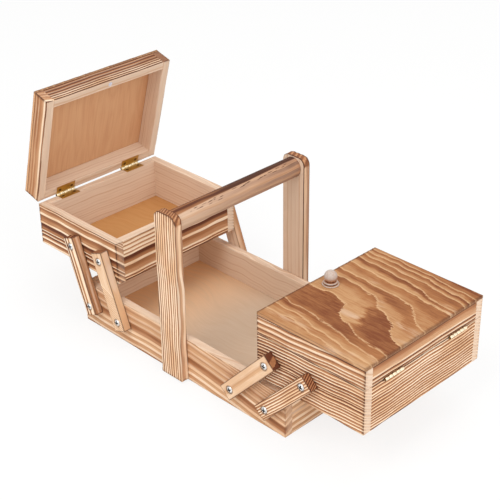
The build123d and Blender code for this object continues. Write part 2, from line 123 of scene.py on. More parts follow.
class CarrierColours(bpy.types.PropertyGroup):
    ridge: colour("Ridge", "Palest brushed ridge", (247, 221, 192))
    ridge_tan: colour("Tan ridge", "Warm brushed ridge", (232, 192, 152))
    burnt: colour("Burnt groove", "Lightly burnt groove", (212, 168, 128))
    burnt_mid: colour("Brown groove", "Groove burnt to a mid brown", (170, 115, 76))
    burnt_dark: colour("Dark groove", "Strongly burnt groove", (98, 52, 32))
    lid_light: colour("Lid light", "Lightly burnt plywood of the lids", (198, 151, 106))
    lid_mid: colour("Lid brown", "Plywood of the lids burnt to a mid brown", (168, 111, 68))
    lid_dark: colour("Lid dark", "Strongly burnt plywood of the lids", (124, 68, 38))
    lid_line: colour("Lid line", "Thin pale lines of the lids", (220, 178, 134))
    bleached: colour("Bleached patch", "Patches that the flame has left pale", (222, 191, 165))
    # Charred arrises, and also painted shade behind the hinge knuckles and in the recesses round
    # the pivot screws.
    scorch: colour("Scorch", "Charred arris", (74, 42, 28))
    sanded: colour("Sanded pine", "Plain pine inside the boxes", (225, 199, 175))
    sanded_line: colour("Sanded line", "Ring lines of the plain pine", (194, 148, 112))
    birch: colour("Birch", "Plywood of the tray's bottom", (210, 186, 162))
    birch_line: colour("Birch line", "Figure of the tray's bottom", (200, 170, 140))
    # Painted warm shade: the orange that bounce light gives the tray's bottom where the left box
    # shades it.
    warm: colour("Warm plywood", "Plywood of the tray's bottom at its left end", (226, 174, 124))
    panel: colour("Panel", "Plywood under the lids", (212, 165, 124))
    panel_line: colour("Panel line", "Figure of the plywood under the lids", (190, 132, 92))
    amber: colour("Amber", "Plywood of the box floors", (196, 145, 92))
    amber_line: colour("Amber line", "Figure of the box floors", (182, 124, 70))
    knob: colour("Knob", "Turned wood of the knobs", (190, 174, 163))
    brass: colour("Brass", "Hinges", (204, 166, 96))
    nail: colour("Nail", "Nails and pins of the hinges", (132, 98, 52))
    # Painted highlight on the hinges' knuckles: a paler copy of the brass.
    polished: colour("Polished brass", "Knuckles of the hinges", (250, 236, 206))
    steel: colour("Steel", "Pivot screws", (236, 236, 236))
    # Painted shade inside the screws' cross slots, the hinges' nail holes and between the
    # knuckles.
    recess: colour("Recess", "Inside the cross slots", (30, 27, 26))
    magnet: colour("Magnet", "Plated magnets", (215, 215, 226))
    floor: colour("Floor", "The floor under the carrier", (244, 244, 243))


def sizes():
    return bpy.context.scene.carrier_sizes


def colours():
    return bpy.context.scene.carrier_colours


# ---- selecting and shaping ----
def make_active(piece):
    bpy.ops.object.select_all(action="DESELECT")
    piece.select_set(True)
    bpy.context.view_layer.objects.active = piece


def corners(piece):
    """The places of a mesh's vertices, in millimetres."""
    places = np.empty(len(piece.data.vertices) * 3)
    piece.data.vertices.foreach_get("co", places)
    return places.reshape(-1, 3) / MM


def edge_ends(piece):
    ends = np.empty(len(piece.data.edges) * 2, dtype=np.int32)
    piece.data.edges.foreach_get("vertices", ends)
    return ends.reshape(-1, 2)


def open_with(piece, part, chosen):
    """Opens a piece in edit mode with some of its vertices, edges or polygons selected."""
    make_active(piece)
    order = ("vertices", "edges", "polygons")
    for each in order:
        items = getattr(piece.data, each)
        items.foreach_set("select", np.zeros(len(items), dtype=bool))
    getattr(piece.data, part).foreach_set("select", np.asarray(chosen, dtype=bool))
    bpy.context.tool_settings.mesh_select_mode = [part == each for each in order]
    bpy.ops.object.mode_set(mode="EDIT")


def close_edit():
    bpy.ops.object.mode_set(mode="OBJECT")


def settle(name):
    """Names the piece that was just added, and leaves its origin at the world's."""
    piece = bpy.context.active_object
    piece.name = piece.data.name = name
    bpy.ops.object.transform_apply(location=True, rotation=True, scale=True)
    return piece


def cube(name, low, high):
    """A sharp block between two corners in millimetres."""
    low, high = Vector(low) * MM, Vector(high) * MM
    bpy.ops.object.select_all(action="DESELECT")
    bpy.ops.mesh.primitive_cube_add(size=1, location=(low + high) / 2, scale=high - low)
    return settle(name)


def bar(name, centre, axis, radius, depth, sides=40):
    """A round bar along an axis, its middle at a point in millimetres."""
    turn = {X: (0, TURN / 4, 0), Y: (TURN / 4, 0, 0), Z: (0, 0, 0)}[axis]
    bpy.ops.object.select_all(action="DESELECT")
    bpy.ops.mesh.primitive_cylinder_add(
        vertices=sides, radius=radius * MM, depth=depth * MM,
        location=Vector(centre) * MM, rotation=turn,
    )
    return settle(name)


def bevel(offset, segments=2):
    bpy.ops.mesh.bevel(offset=offset, segments=segments, affect="EDGES")
    close_edit()


def ease_sharp(piece, offset):
    """Rounds every sharp edge of a piece a little."""
    open_with(piece, "edges", np.zeros(len(piece.data.edges)))
    bpy.ops.mesh.edges_select_sharp(sharpness=math.radians(60))
    bevel(offset)


def start_block(name, low, high, ease, joined=()):
    """A block between two corners in millimetres, its edges eased but for the joined ones."""
    ends, block = {LOW: low, HIGH: high}, cube(name, low, high)
    places, free = corners(block)[edge_ends(block)].mean(axis=1), np.ones(12, dtype=bool)
    for sides in joined:
        on = [np.abs(places[:, axis] - ends[side][axis]) < 0.01 for axis, side in sides]
        free &= ~np.all(on, axis=0)
    open_with(block, "edges", free)
    bevel(ease)
    return block


def cut_rows(piece, axis, count):
    """Divides every edge along an axis, so that the block gets that many rows."""
    rounds = [count] if count <= MOST_ROWS else [math.ceil(count / 2), 2]
    for rows in rounds:
        if rows < 2:
            continue
        places, ends = corners(piece), edge_ends(piece)
        run = places[ends[:, 1]] - places[ends[:, 0]]
        far = np.abs(run[:, axis])
        straight = far > 0.995 * np.linalg.norm(run, axis=1)
        open_with(piece, "edges", straight & (far > 0.3 * far.max()))
        bpy.ops.mesh.subdivide(number_cuts=rows - 1, quadcorner="INNERVERT")
        close_edit()


def cut_with(piece, cutter):
    """Takes a cutter's shape out of a piece, and removes the cutter."""
    make_active(piece)
    cut = piece.modifiers.new("cut", "BOOLEAN")
    cut.operation, cut.solver, cut.object = "DIFFERENCE", "EXACT", cutter
    bpy.ops.object.modifier_apply(modifier=cut.name)
    drop(cutter)


def drop(piece):
    mesh = piece.data
    bpy.data.objects.remove(piece)
    bpy.data.meshes.remove(mesh)


def turned(name, profile):
    """A turned piece about the Z axis from (radius, height) pairs, first and last on the axis."""
    bpy.ops.object.select_all(action="DESELECT")
    radius, height = profile[0]
    bpy.ops.mesh.primitive_plane_add(size=MM, location=(radius * MM, 0, height * MM))
    piece = settle(name)
    open_with(piece, "vertices", np.ones(4))
    bpy.ops.mesh.merge(type="CENTER")
    for before, after in zip(profile, profile[1:]):
        run = ((after[0] - before[0]) * MM, 0, (after[1] - before[1]) * MM)
        bpy.ops.mesh.extrude_vertices_move(TRANSFORM_OT_translate={"value": run})
    bpy.ops.mesh.select_all(action="SELECT")
    bpy.ops.mesh.spin(steps=48, angle=TURN, center=(0, 0, 0), axis=(0, 0, 1))
    bpy.ops.mesh.select_all(action="SELECT")
    bpy.ops.mesh.remove_doubles(threshold=0.00001)
    bpy.ops.mesh.normals_make_consistent(inside=False)
    close_edit()
    return piece


def smooth(piece):
    make_active(piece)
    bpy.ops.object.shade_smooth_by_angle(angle=math.radians(SMOOTH_BELOW))


def copy_of(piece, name, matrix):
    """A copy with its own mesh, moved by a matrix."""
    twin = piece.copy()
    twin.data = piece.data.copy()
    twin.name = twin.data.name = name
    bpy.context.scene.collection.objects.link(twin)
    apply_place(twin, matrix)
    return twin


def apply_place(piece, matrix):
    make_active(piece)
    piece.matrix_world = matrix
    bpy.ops.object.transform_apply(location=True, rotation=True, scale=True)


def join(name, pieces):
    make_active(pieces[0])
    for piece in pieces[1:]:
        piece.select_set(True)
    bpy.ops.object.join()
    pieces[0].name = pieces[0].data.name = name
    return pieces[0]


def coat(piece, name):
    """Gives a piece one of the finishes, which is made the first time that it is used."""
    slot, make, *values = FINISHES[name]
    own = colours()
    values = [tuple(getattr(own, each)) if isinstance(each, str) else each for each in values]
    piece.data.materials.clear()
    piece.data.materials.append(bpy.data.materials.get(name) or make(name, *values))


def finish_piece(piece, finish, body, node):
    """Gives a piece its finish and the body that it rides on, and hides the node that it stands
    for.
    """
    coat(piece, finish)
    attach(piece, body)
    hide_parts(node)


# ---- places ----
def joint(name):
    """A joint of the frame, by its name."""
    return next(each for each in frame["joints"] if each["name"] == name)


def span_of(node):
    """The two corners of a node of the frame, in millimetres."""
    return [tuple(corner / MM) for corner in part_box(node)]


def frame_of(side, part):
    """From a box's own frame to its place, or to its lid's, as far open as the joint says."""
    low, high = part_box(f"{side}_box_near_board")
    place = Matrix.Translation((low.x, 0, low.z))
    if side == "left":
        place = Matrix.Translation((high.x, 0, low.z)) @ Matrix.Rotation(math.pi, 4, "Z")
    if part == "lid":
        hinge = joint(f"{side}_lid_hinge")
        pivot = Matrix.Translation(hinge["pos_m"])
        opened = Matrix.Rotation(math.radians(-hinge["range_deg"][0]), 4, Vector(hinge["axis"]))
        place = pivot @ opened @ pivot.inverted() @ place
    return place


def arm_run(side):
    """From the lower to the upper pivot of each arm of a side, in metres."""
    return Vector(joint(f"{side}_box_level")["pos_m"]) - Vector(joint(f"{side}_swing")["pos_m"])


def arm_frame(side, swing):
    """From an arm's own frame, X along it from its lower pivot, to its place."""
    low, run = Vector(joint(swing)["pos_m"]), arm_run(side)
    lean = math.atan2(run.z, run.x)
    return Matrix.Translation((low.x, 0, low.z)) @ Matrix.Rotation(-lean, 4, "Y")


# The sizes of a box and its lid, from the right ones, which both lie square in the frame.
BOX_LOW, BOX_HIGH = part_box("right_box_near_board")
BOX_LENGTH = (BOX_HIGH.x - BOX_LOW.x) / MM
BOX_HEIGHT = (BOX_HIGH.z - BOX_LOW.z) / MM
HALF_WIDTH = -BOX_LOW.y / MM
RAIL_LOW, RAIL_HIGH = ((end.z - BOX_LOW.z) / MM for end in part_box("right_lid_near_rail"))
LID_TOP = (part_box("right_lid_panel")[1].z - BOX_LOW.z) / MM
FLOOR_TOP = (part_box("right_box_floor_panel")[1].z - BOX_LOW.z) / MM


# ---- how the grain runs ----
class Figure:
    """The rings of one board, in millimetres. They are counted from its top or low edge.

    Faces holds how far each face is flamed. A look is a few of the values below, and pairs in
    it are places along or across the board, each with its value.
    """

    usual = dict(
        ridges=(),  # ridges that are listed, from and to; the others follow evenly
        pitch=3.2, share=0.4, spread=0.3,  # a ring's width, its ridge's share, how uneven it is
        rise=0.0, bend=((0, 0),),  # how the rings climb along the grain, and where they bow
        wave=0.5, wave_length=90.0, lean=0.5,  # how they wave, and lean through the board
        burn=((0, 0.75),), along=((0, 1),),  # how burnt the grooves are across, and along
        crest=((0, 1),), relief=1.0,  # how pale the ridges are, and how deep it is brushed
        char=0.6, reach=(0.1, 1.1),  # how charred the arrises are, and how far in
        joined=(), round=0.0,  # arrises against the next board, and the top corners' radius
        scorched={}, seared={},  # faces that are burnt all over, or in a line at their arris
        fade=0.8,  # how far the flame fades on an end face
    )

    def __init__(self, seed, grain, across, faces, **look):
        self.seed, self.grain, self.across, self.faces = seed, grain, across, faces
        self.through = X + Y + Z - grain - across
        self.from_top = across == Z
        vars(self).update(self.usual | look)


def ring_table(figure, span):
    """Places across a board and the ring count at each. A ridge lies on each whole number."""
    draw, spare = random.Random(figure.seed), 40
    wood = figure.pitch * (1 - figure.share)
    ridge = figure.pitch * figure.share

    def uneven(size):
        return size * (1 + draw.uniform(-figure.spread, figure.spread))

    ridges = list(figure.ridges) or [(ridge, 2 * ridge)]
    while ridges[-1][1] < span + spare:
        start = ridges[-1][1] + uneven(wood)
        ridges.append((start, start + uneven(ridge)))
    while ridges[0][0] > -spare:
        end = ridges[0][0] - uneven(wood)
        ridges.insert(0, (end - uneven(ridge), end))
    places, counts = [], []
    for number, (start, end) in enumerate(ridges):
        places += [start, end]
        counts += [number - 0.08, number + 0.12]
    return places, counts


def at(pairs, values):
    """The value at each place, from pairs of a place and its value."""
    return np.interp(values, [pair[0] for pair in pairs], [pair[1] for pair in pairs])


def step(low, high, values):
    """0 up to low and 1 from high on, with a smooth rise between."""
    part = np.clip((values - low) / (high - low), 0, 1)
    return part * part * (3 - 2 * part)


def store(piece, part="POINT", **layers):
    """Keeps named numbers or vectors on a mesh, one for each of its vertices or faces."""
    for name, values in layers.items():
        kind, field = ("FLOAT_VECTOR", "vector") if values.ndim == 2 else ("FLOAT", "value")
        made = piece.data.attributes.new(name, kind, part)
        made.data.foreach_set(field, values.astype(float).ravel())


def brush(piece, depth, deepest):
    """Sinks each vertex by its own depth, with a displace modifier."""
    group = piece.vertex_groups.new(name="brushed")
    levels = np.rint(np.clip(depth, 0, 1) * LEVELS).astype(int)
    for level in range(1, LEVELS + 1):
        picked = np.nonzero(levels == level)[0]
        if len(picked):
            group.add(picked.tolist(), level / LEVELS, "REPLACE")
    make_active(piece)
    sink = piece.modifiers.new("brush", "DISPLACE")
    sink.strength, sink.mid_level, sink.vertex_group = -deepest, 0, group.name
    bpy.ops.object.modifier_apply(modifier=sink.name)
    piece.vertex_groups.clear()


def dress(piece, low, high, figure, count=None):
    """Gives a block its rings, its flamed faces, its charred arrises and its brushed relief.

    u runs along the grain, w across it and t into the board, from its outer face.
    """
    places = corners(piece)
    low, high = np.array(low, float), np.array(high, float)
    span = high - low
    u = places[:, figure.grain] - low[figure.grain]
    v = places[:, figure.across]
    w = high[figure.across] - v if figure.from_top else v - low[figure.across]
    outer = [side for axis, side in figure.faces if axis == figure.through]
    depth = places[:, figure.through]
    t = high[figure.through] - depth if outer == [HIGH] else depth - low[figure.through]
    draw = random.Random(figure.seed + 1000)
    start = draw.uniform(0, TURN)
    swell = np.sin(TURN * u / figure.wave_length + start)
    swell += 0.4 * np.sin(TURN * u / (figure.wave_length * 0.37) + 2 * start + w * 0.05)
    flow = w + figure.rise * u + figure.wave * swell + figure.lean * t - at(figure.bend, u)
    if count is None:
        rings = np.interp(flow, *ring_table(figure, span[figure.across]))
    else:
        rings = count(u, w)
    off = {(axis, LOW): places[:, axis] - low[axis] for axis in (X, Y, Z)}
    off |= {(axis, HIGH): high[axis] - places[:, axis] for axis in (X, Y, Z)}
    nearest = np.minimum(places - low, high - places)
    if figure.round:
        # At a rounded corner the distance to the outside is taken along the curve's radius.
        bend, top, side = figure.round, off[Z, HIGH], nearest[:, X].copy()
        corner = (side < bend) & (top < bend)
        off[Z, HIGH] = np.where(corner, bend - np.hypot(bend - side, bend - top), top)
        nearest[:, X] = np.where(corner, bend, side)
        nearest[:, Z] = np.minimum(off[Z, LOW], off[Z, HIGH])
    flame = np.zeros(len(places))
    for face, strength in figure.faces.items():
        if face[0] == figure.grain:
            strength = strength * (1 - figure.fade * step(1.0, 4.5, t))
        flame = np.maximum(flame, strength * (1 - step(*FACE_EDGE, off[face])))
    edge = 1 - step(*figure.reach, np.sort(nearest, axis=1)[:, 1])
    for sides in figure.joined:
        edge *= 1 - np.prod([1 - step(1.0, 2.0, off[each]) for each in sides], axis=0)
    burn = at(figure.burn, w - at(figure.bend, u)) * at(figure.along, u)
    crest = at(figure.crest, w)
    part = rings % 1
    ridge = 1 - step(0.08, 0.2, part) + step(0.8, 0.95, part)
    for face, strength in figure.scorched.items():
        here = 1 - step(*FACE_EDGE, off[face])
        flame, crest = np.maximum(flame, here), crest * (1 - here)
        burn = burn + (strength - burn) * here
    char = edge * flame * figure.char
    for face, strength in figure.seared.items():
        line = step(0.5, 0.75, flame) * (1 - step(0.3, 1.1, off[face]))
        char = np.maximum(char, strength * line)
    grain = np.stack([u + 37.0 * figure.seed, flow - figure.rise * u, t], axis=1)
    store(piece, ring=rings, burn=burn, crest=crest, flamed=flame, char=char, grain=grain)
    deepest = sizes().lid_relief if count is not None else sizes().relief
    soft = (1 - ridge) * (1 - 0.55 * part) * flame * figure.relief * (0.5 + 0.5 * burn)
    brush(piece, soft, deepest)
    smooth(piece)


def board(name, low, high, figure, ease=None, columns=None, cuts=(), count=None, spots=()):
    """A sawn, eased and brushed board between two corners in millimetres."""
    ease = sizes().edge_ease if ease is None else ease
    piece = start_block(name, low, high, ease, figure.joined)
    span = [b - a for a, b in zip(low, high)]
    for axis in (figure.grain, figure.across, figure.through):
        cell = sizes().row / MM
        if axis == figure.grain:
            cell = columns or sizes().column / MM
        cut_rows(piece, axis, max(1, round(span[axis] / cell)))
    for cutter in cuts:
        cut_with(piece, cutter())
    dress(piece, low, high, figure, count)
    for spot in spots:
        paint_shade_round(piece, spot)
    return piece


def deepen_char(piece, values):
    """Chars a piece further where that is more than it has."""
    char = piece.data.attributes["char"]
    had = np.empty(len(values))
    char.data.foreach_get("value", had)
    char.data.foreach_set("value", np.maximum(values, had))


def paint_shade_round(piece, spot):
    """Paints shade into the char round a point, between two distances in millimetres."""
    middle, inner, outer = spot
    off = np.linalg.norm(corners(piece) - np.array(middle), axis=1)
    deepen_char(piece, (1 - step(inner, outer, off)) * 0.7)


# ---- shader maths ----
class Wire:
    """A socket that takes part in sums, and adds the nodes that work them out."""

    def __init__(self, sheet, socket):
        self.sheet, self.socket = sheet, socket

    def math(self, operation, *values):
        settings = {"operation": operation}
        return self.sheet.add("ShaderNodeMath", settings, dict(enumerate(values)))

    def __add__(self, other):
        return self.math("ADD", self, other)

    def __sub__(self, other):
        return self.math("SUBTRACT", self, other)

    def __rsub__(self, other):
        return self.math("SUBTRACT", other, self)

    def __mul__(self, other):
        return self.math("MULTIPLY", self, other)

    __radd__, __rmul__ = __add__, __mul__

    def fraction(self):
        return self.math("FRACT", self)

    def floor(self):
        return self.math("FLOOR", self)

    def larger(self, other):
        return self.math("MAXIMUM", self, other)

    def clamped(self):
        return self.math("MINIMUM", self, 1.0).larger(0.0)

    def between(self, low, high, soft=True):
        """0 below low and 1 above high."""
        kind = "SMOOTHSTEP" if soft else "LINEAR"
        ends = {"From Min": low, "From Max": high, "To Min": 0.0, "To Max": 1.0}
        inputs = {"Value": self} | ends
        return self.sheet.add("ShaderNodeMapRange", {"interpolation_type": kind}, inputs)

    def stretched(self, along, across, through):
        """A vector with each of its parts scaled."""
        scale = {0: self, 1: (along, across, through)}
        return self.sheet.add("ShaderNodeVectorMath", {"operation": "MULTIPLY"}, scale)


class Sheet:
    """The nodes of a material or of a world."""

    def __init__(self, owner):
        owner.use_nodes = True
        self.owner, self.tree = owner, owner.node_tree
        self.tree.nodes.clear()

    def add(self, kind, settings=None, inputs=None, output=0):
        """Adds a node, its settings and its inputs, which are values or wires."""
        node = self.tree.nodes.new(kind)
        for name, value in (settings or {}).items():
            if name == "stops":
                ramp = node.color_ramp.elements
                ramp[0].position, ramp[1].position = value[0][0], value[-1][0]
                for place, shade in value[1:-1]:
                    ramp.new(place)
                for element, (place, shade) in zip(ramp, value):
                    element.color = (*shade, 1)
            else:
                setattr(node, name, value)
        for name, value in (inputs or {}).items():
            if isinstance(value, Wire):
                self.tree.links.new(value.socket, node.inputs[name])
            else:
                node.inputs[name].default_value = value
        return Wire(self, node.outputs[output]) if node.outputs else None

    def attribute(self, name, output="Fac"):
        return self.add("ShaderNodeAttribute", {"attribute_name": name}, output=output)

    def place(self):
        return self.add("ShaderNodeTexCoord", output="Object")

    def rays(self, kind):
        """1 for rays of one kind, such as Camera or Glossy."""
        return self.add("ShaderNodeLightPath", output=f"Is {kind} Ray")

    def noise(self, place, scale, detail, rough):
        inputs = {"Vector": place, "Scale": scale, "Detail": detail, "Roughness": rough}
        return self.add("ShaderNodeTexNoise", None, inputs)

    def mix(self, factor, first, second, blend="MIX"):
        settings = {"data_type": "RGBA", "blend_type": blend}
        first = first if isinstance(first, Wire) else (*first, 1)
        second = second if isinstance(second, Wire) else (*second, 1)
        return self.add("ShaderNodeMix", settings, {0: factor, 6: first, 7: second}, 2)

    def ramp(self, factor, stops, kind="LINEAR"):
        wire = self.add("ShaderNodeValToRGB", {"stops": stops}, {0: factor})
        wire.socket.node.color_ramp.interpolation = kind
        return wire

    def parts(self, colour):
        """The red, the green and the blue of a colour."""
        node = self.add("ShaderNodeSeparateColor", None, {0: colour}).socket.node
        return [Wire(self, socket) for socket in node.outputs[:3]]

    def shade(self, colour, factor):
        """Multiplies a colour by a number."""
        scale = self.add("ShaderNodeCombineXYZ", None, {0: factor, 1: factor, 2: factor})
        return self.mix(1.0, colour, scale, "MULTIPLY")

    def bump(self, height, distance, strength):
        inputs = {"Height": height, "Distance": distance, "Strength": strength}
        return self.add("ShaderNodeBump", None, inputs)

    def finish(self, base, roughness, normal, **constants):
        inputs = {"Base Color": base, "Roughness": roughness, "Normal": normal}
        inputs |= {name.replace("_", " "): value for name, value in constants.items()}
        shader = self.add("ShaderNodeBsdfPrincipled", None, inputs)
        self.add("ShaderNodeOutputMaterial", None, {"Surface": shader})
        return self.owner


# The noises in the wood: their scale along the grain and across it, detail and roughness.
# Fibre is the finest and patch the broadest. The last two are for the lids alone.
NOISES = {
    "fibre": (0.06, 2.2, 3.0, 0.6),
    "streak": (0.022, 0.6, 3.0, 0.55),
    "patch": (0.018, 0.06, 2.0, 0.5),
    "comb": (0.09, 0.7, 3.0, 0.65),
    "mottle": (0.035, 0.13, 4.0, 0.65),
}


def wood(name, plain, plain_line, ply=False, lid=False):
    """Flamed and brushed wood, plain and sanded where it wasn't flamed.

    Within a ring, part runs from 0 to 1: its ridge lies round 0 and its groove between.
    """
    own = colours()
    sheet = Sheet(bpy.data.materials.new(name))
    grain = sheet.attribute("grain", "Vector")
    ring = sheet.attribute("ring")
    flamed_face = sheet.attribute("flamed")

    def noise(kind):
        along, across, detail, rough = NOISES[kind]
        return sheet.noise(grain.stretched(along, across, across), 1.0, detail, rough)

    fibre, streak, patch = noise("fibre"), noise("streak"), noise("patch")
    if lid:
        # Thin pale lines at the end of each ring, frayed by the comb where they cross the grain.
        comb, mottle = noise("comb"), noise("mottle")
        ring = ring + (comb - 0.5) * sheet.attribute("feather")
        part = ring.fraction()
        thin = sheet.attribute("thin")
        ridge = part.between(1.0 - thin * 2.4, 1.0 - thin) * (0.35 + fibre * 0.6)
        burnt = lid_tone(sheet, ring, part + (comb - 0.5) * 0.5, (mottle - 0.5) * 0.4)
        burnt = burnt + (streak - 0.5) * 0.6 + (comb - 0.5) * 0.6 + (mottle - 0.5) * 0.9
        pale = own.lid_line
        tones = own.lid_light, own.lid_mid, own.lid_dark
    else:
        part = (ring + (fibre - 0.5) * 0.06 + (streak - 0.5) * 0.1).fraction()
        ridge = (1 - part.between(0.08, 0.16) + part.between(0.88, 0.96)).clamped()
        fade = 1 - part.between(0.3, 0.75)
        burnt = sheet.attribute("burn") * (0.55 + 0.6 * fade)
        burnt = burnt + (patch - 0.5) * 0.45 + (streak - 0.5) * 0.5
        pale = sheet.mix(patch.between(0.4, 0.65), own.ridge, own.ridge_tan)
        ridge = ridge * sheet.attribute("crest")
        tones = own.burnt, own.burnt_mid, own.burnt_dark
    stops = [(number / 2, tuple(tone)) for number, tone in enumerate(tones)]
    groove = sheet.ramp(burnt.clamped(), stops)
    bleach = patch.between(0.52, 0.72) * (1 - burnt.between(0.1, 0.5))
    groove = sheet.mix(bleach * (0.6 if lid else 1.0), groove, own.bleached)
    flamed = sheet.mix(ridge, groove, pale)
    flamed = sheet.shade(flamed, (0.7 if lid else 0.8) + 0.4 * fibre)
    if ply:
        # Veneer: soft lines round clouds. Otherwise a fine line at the end of each ring.
        cloud = sheet.noise(grain.stretched(0.009, 0.05, 0.0), 1.0, 1.0, 0.4)
        line = (cloud * 6.0).fraction()
        line = 0.35 + line * (1 - line) * -0.9 + (streak - 0.5) * 0.9
    else:
        strong = (ring.floor() * 0.618).fraction().between(0.3, 1.0)
        line = part.between(0.45, 0.97) * (0.15 + strong * 0.45) + (streak - 0.5) * 0.8
    # Where burn says, the tray's bottom gets the painted warm shade under the left box; the box
    # floors have none.
    if ply and not lid:
        plain = sheet.mix(sheet.attribute("burn"), plain, own.warm)
    sanded = sheet.mix(line.clamped(), plain, plain_line)
    sanded = sheet.shade(sanded, 0.95 + 0.1 * fibre)
    base = sheet.mix(flamed_face, sanded, flamed)
    # Char also carries painted shade behind the hinge knuckles and in the recesses round the pivot
    # screws.
    broken = 0.3 + (streak - 0.5) * 0.5 + (1 - ridge) * flamed_face * 0.5
    char_and_shade = sheet.attribute("char") * broken
    base = sheet.mix(char_and_shade.clamped(), base, own.scorch)
    height = fibre * 0.6 + ridge * flamed_face * 0.4
    normal = sheet.bump(height, 0.0003, 0.5)
    return sheet.finish(base, 0.62 + fibre * 0.2, normal, Specular_IOR_Level=0.2)


def lid_tone(sheet, ring, part, drift):
    """How dark a lid is: each ring starts dark, holds that for a while and fades."""
    place = (ring.floor() + 0.5) * (1 / len(LID_TONES))
    along = sheet.attribute("along") + drift
    ramps = []
    for number in range(len(LID_STATIONS)):
        stops = []
        for order, (starts, keep, hold) in enumerate(LID_TONES):
            if order == CALM_RING and number < CALM_STATIONS:
                keep, hold = CALM_LOOK
            look = (starts[number], starts[number] * keep, hold)
            stops.append((order / len(LID_TONES), look))
        ramps.append(sheet.ramp(place, stops, "CONSTANT"))
    tone = ramps[0]
    for before, after, ramp in zip(LID_STATIONS, LID_STATIONS[1:], ramps[1:]):
        tone = sheet.mix(along.between(before, after, False), tone, ramp)
    start, end, hold = sheet.parts(tone)
    fade = part.between(hold * 0.85, hold * 0.45 + 0.5)
    return start + (end - start) * fade


def metal(name, base, roughness, relief):
    """A drawn or plated metal with faint wear, painted shade inside its slots, holes and knuckle
    gaps, and a painted highlight on its knuckles.
    """
    sheet = Sheet(bpy.data.materials.new(name))
    place = sheet.place()
    wear = sheet.noise(place, 900.0, 3.0, 0.6)
    cloud = sheet.noise(place, 150.0, 2.0, 0.5)
    shade = sheet.shade(sheet.mix(cloud, base, tuple(v * 0.82 for v in base)), 0.9 + wear * 0.2)
    # A painted highlight on the hinges' knuckles.
    shade = sheet.mix(sheet.attribute("polish"), shade, colours().polished)
    # Painted shade inside the screws' slots, the nail holes and between the hinges' knuckles.
    dark = sheet.attribute("slot")
    shade = sheet.mix(dark, shade, colours().recess)
    normal = sheet.bump(wear, relief, 0.4)
    rough = roughness + wear * 0.15 + dark * 0.4
    return sheet.finish(shade, rough, normal, Metallic=1.0)


def turned_wood(name, base):
    """Pale wood with its fibres along a turned piece, with painted shade in its grooves and darker
    over them.
    """
    sheet = Sheet(bpy.data.materials.new(name))
    place = sheet.place()
    fibre = sheet.noise(place.stretched(900.0, 900.0, 120.0), 1.0, 3.0, 0.6)
    band = sheet.noise(place.stretched(520.0, 520.0, 40.0), 1.0, 2.0, 0.5)
    shade = sheet.mix(band.between(0.5, 0.68) * 0.3, base, colours().burnt_mid)
    shade = sheet.shade(shade, 0.86 + fibre * 0.24)
    # Painted shade in the knob's neck groove, and streaks that grow darker towards the bottom of
    # its ball.
    groove_shade_and_streaks = sheet.attribute("slot") * (0.55 + band * 0.9)
    shade = sheet.mix((groove_shade_and_streaks * 1.8).clamped(), shade, colours().burnt_mid)
    shade = sheet.mix((groove_shade_and_streaks * 2.0 - 1.0).clamped(), shade, colours().burnt_dark)
    normal = sheet.bump(fibre, 0.0001, 0.4)
    return sheet.finish(shade, 0.45 + fibre * 0.15, normal, Specular_IOR_Level=0.3)


# Each finish: the slot that it goes under, the function that makes it and what that takes.
FINISHES = {
    "brushed_pine": ("flamed_pine", wood, "sanded", "sanded_line"),
    "birch_plywood": ("plywood", wood, "birch", "birch_line", True),
    "amber_plywood": ("plywood", wood, "amber", "amber_line", True),
    "lid_plywood": ("plywood", wood, "panel", "panel_line", True, True),
    "lathe_wood": ("turned_wood", turned_wood, "knob"),
    "zinc_steel": ("steel", metal, "steel", 0.3, 0.00005),
    "old_brass": ("brass", metal, "brass", 0.3, 0.00005),
    "dark_brass": ("brass", metal, "nail", 0.4, 0.00005),
    "plated_magnet": ("magnet", metal, "magnet", 0.2, 0.00002),
}


# ---- operators ----
class CarrierOperator(bpy.types.Operator):
    """What the operators share. Each makes one group of pieces."""

    bl_options = {"REGISTER", "UNDO"}


def grain_axis(face):
    """The axis that the grain follows on a board with that outside face."""
    return X if face[0] == Y else Y


# Each board of the tray: its seed, its outside face, how far its other faces are flamed, and
# its figure.
TRAY_LOOKS = {
    "near": (11, (Y, LOW), {(X, LOW): 0.6, (X, HIGH): 0.9, (Z, HIGH): 0.15}, dict(
        ridges=((0.4, 3.4), (9.0, 12.0), (16.0, 19.0), (28.0, 31.5), (35.5, 39.0), (43.5, 46.5)),
        bend=((150, 0), (170, 0), (280, 14), (301, 16)), wave=0.6, wave_length=120,
        burn=((0, 0.3), (4, 0.3), (18, 0.3), (22, 0.6), (27, 0.6), (29, 0.15), (40, 0.25),
              (44, 0.5), (48, 0.7)),
        crest=((0, 0.9), (4, 0.35), (24, 0.4), (28, 0.9), (48, 0.7)), relief=0.7, fade=0.25)),
    "far": (12, (Y, HIGH), {(X, LOW): 0.35, (X, HIGH): 0.35, (Z, HIGH): 0.2}, dict(
        pitch=4.2, rise=-0.02, wave=1.2, burn=((0, 0.5), (20, 0.8), (48, 0.55)))),
    "left": (14, (X, LOW), {(Z, HIGH): 0.2}, dict(pitch=4.4, rise=-0.02, wave=0.9)),
    "right": (13, (X, HIGH), {(Z, HIGH): 0.15}, dict(
        ridges=((1, 3), (7.2, 10), (13, 16), (19.2, 22.4), (25.4, 28.4), (31.6, 35.2),
                (38.6, 42.2), (45.4, 47.4)),
        pitch=6.3, rise=0.01, burn=((0, 0.05), (16, 0.15), (48, 0.2)))),
}


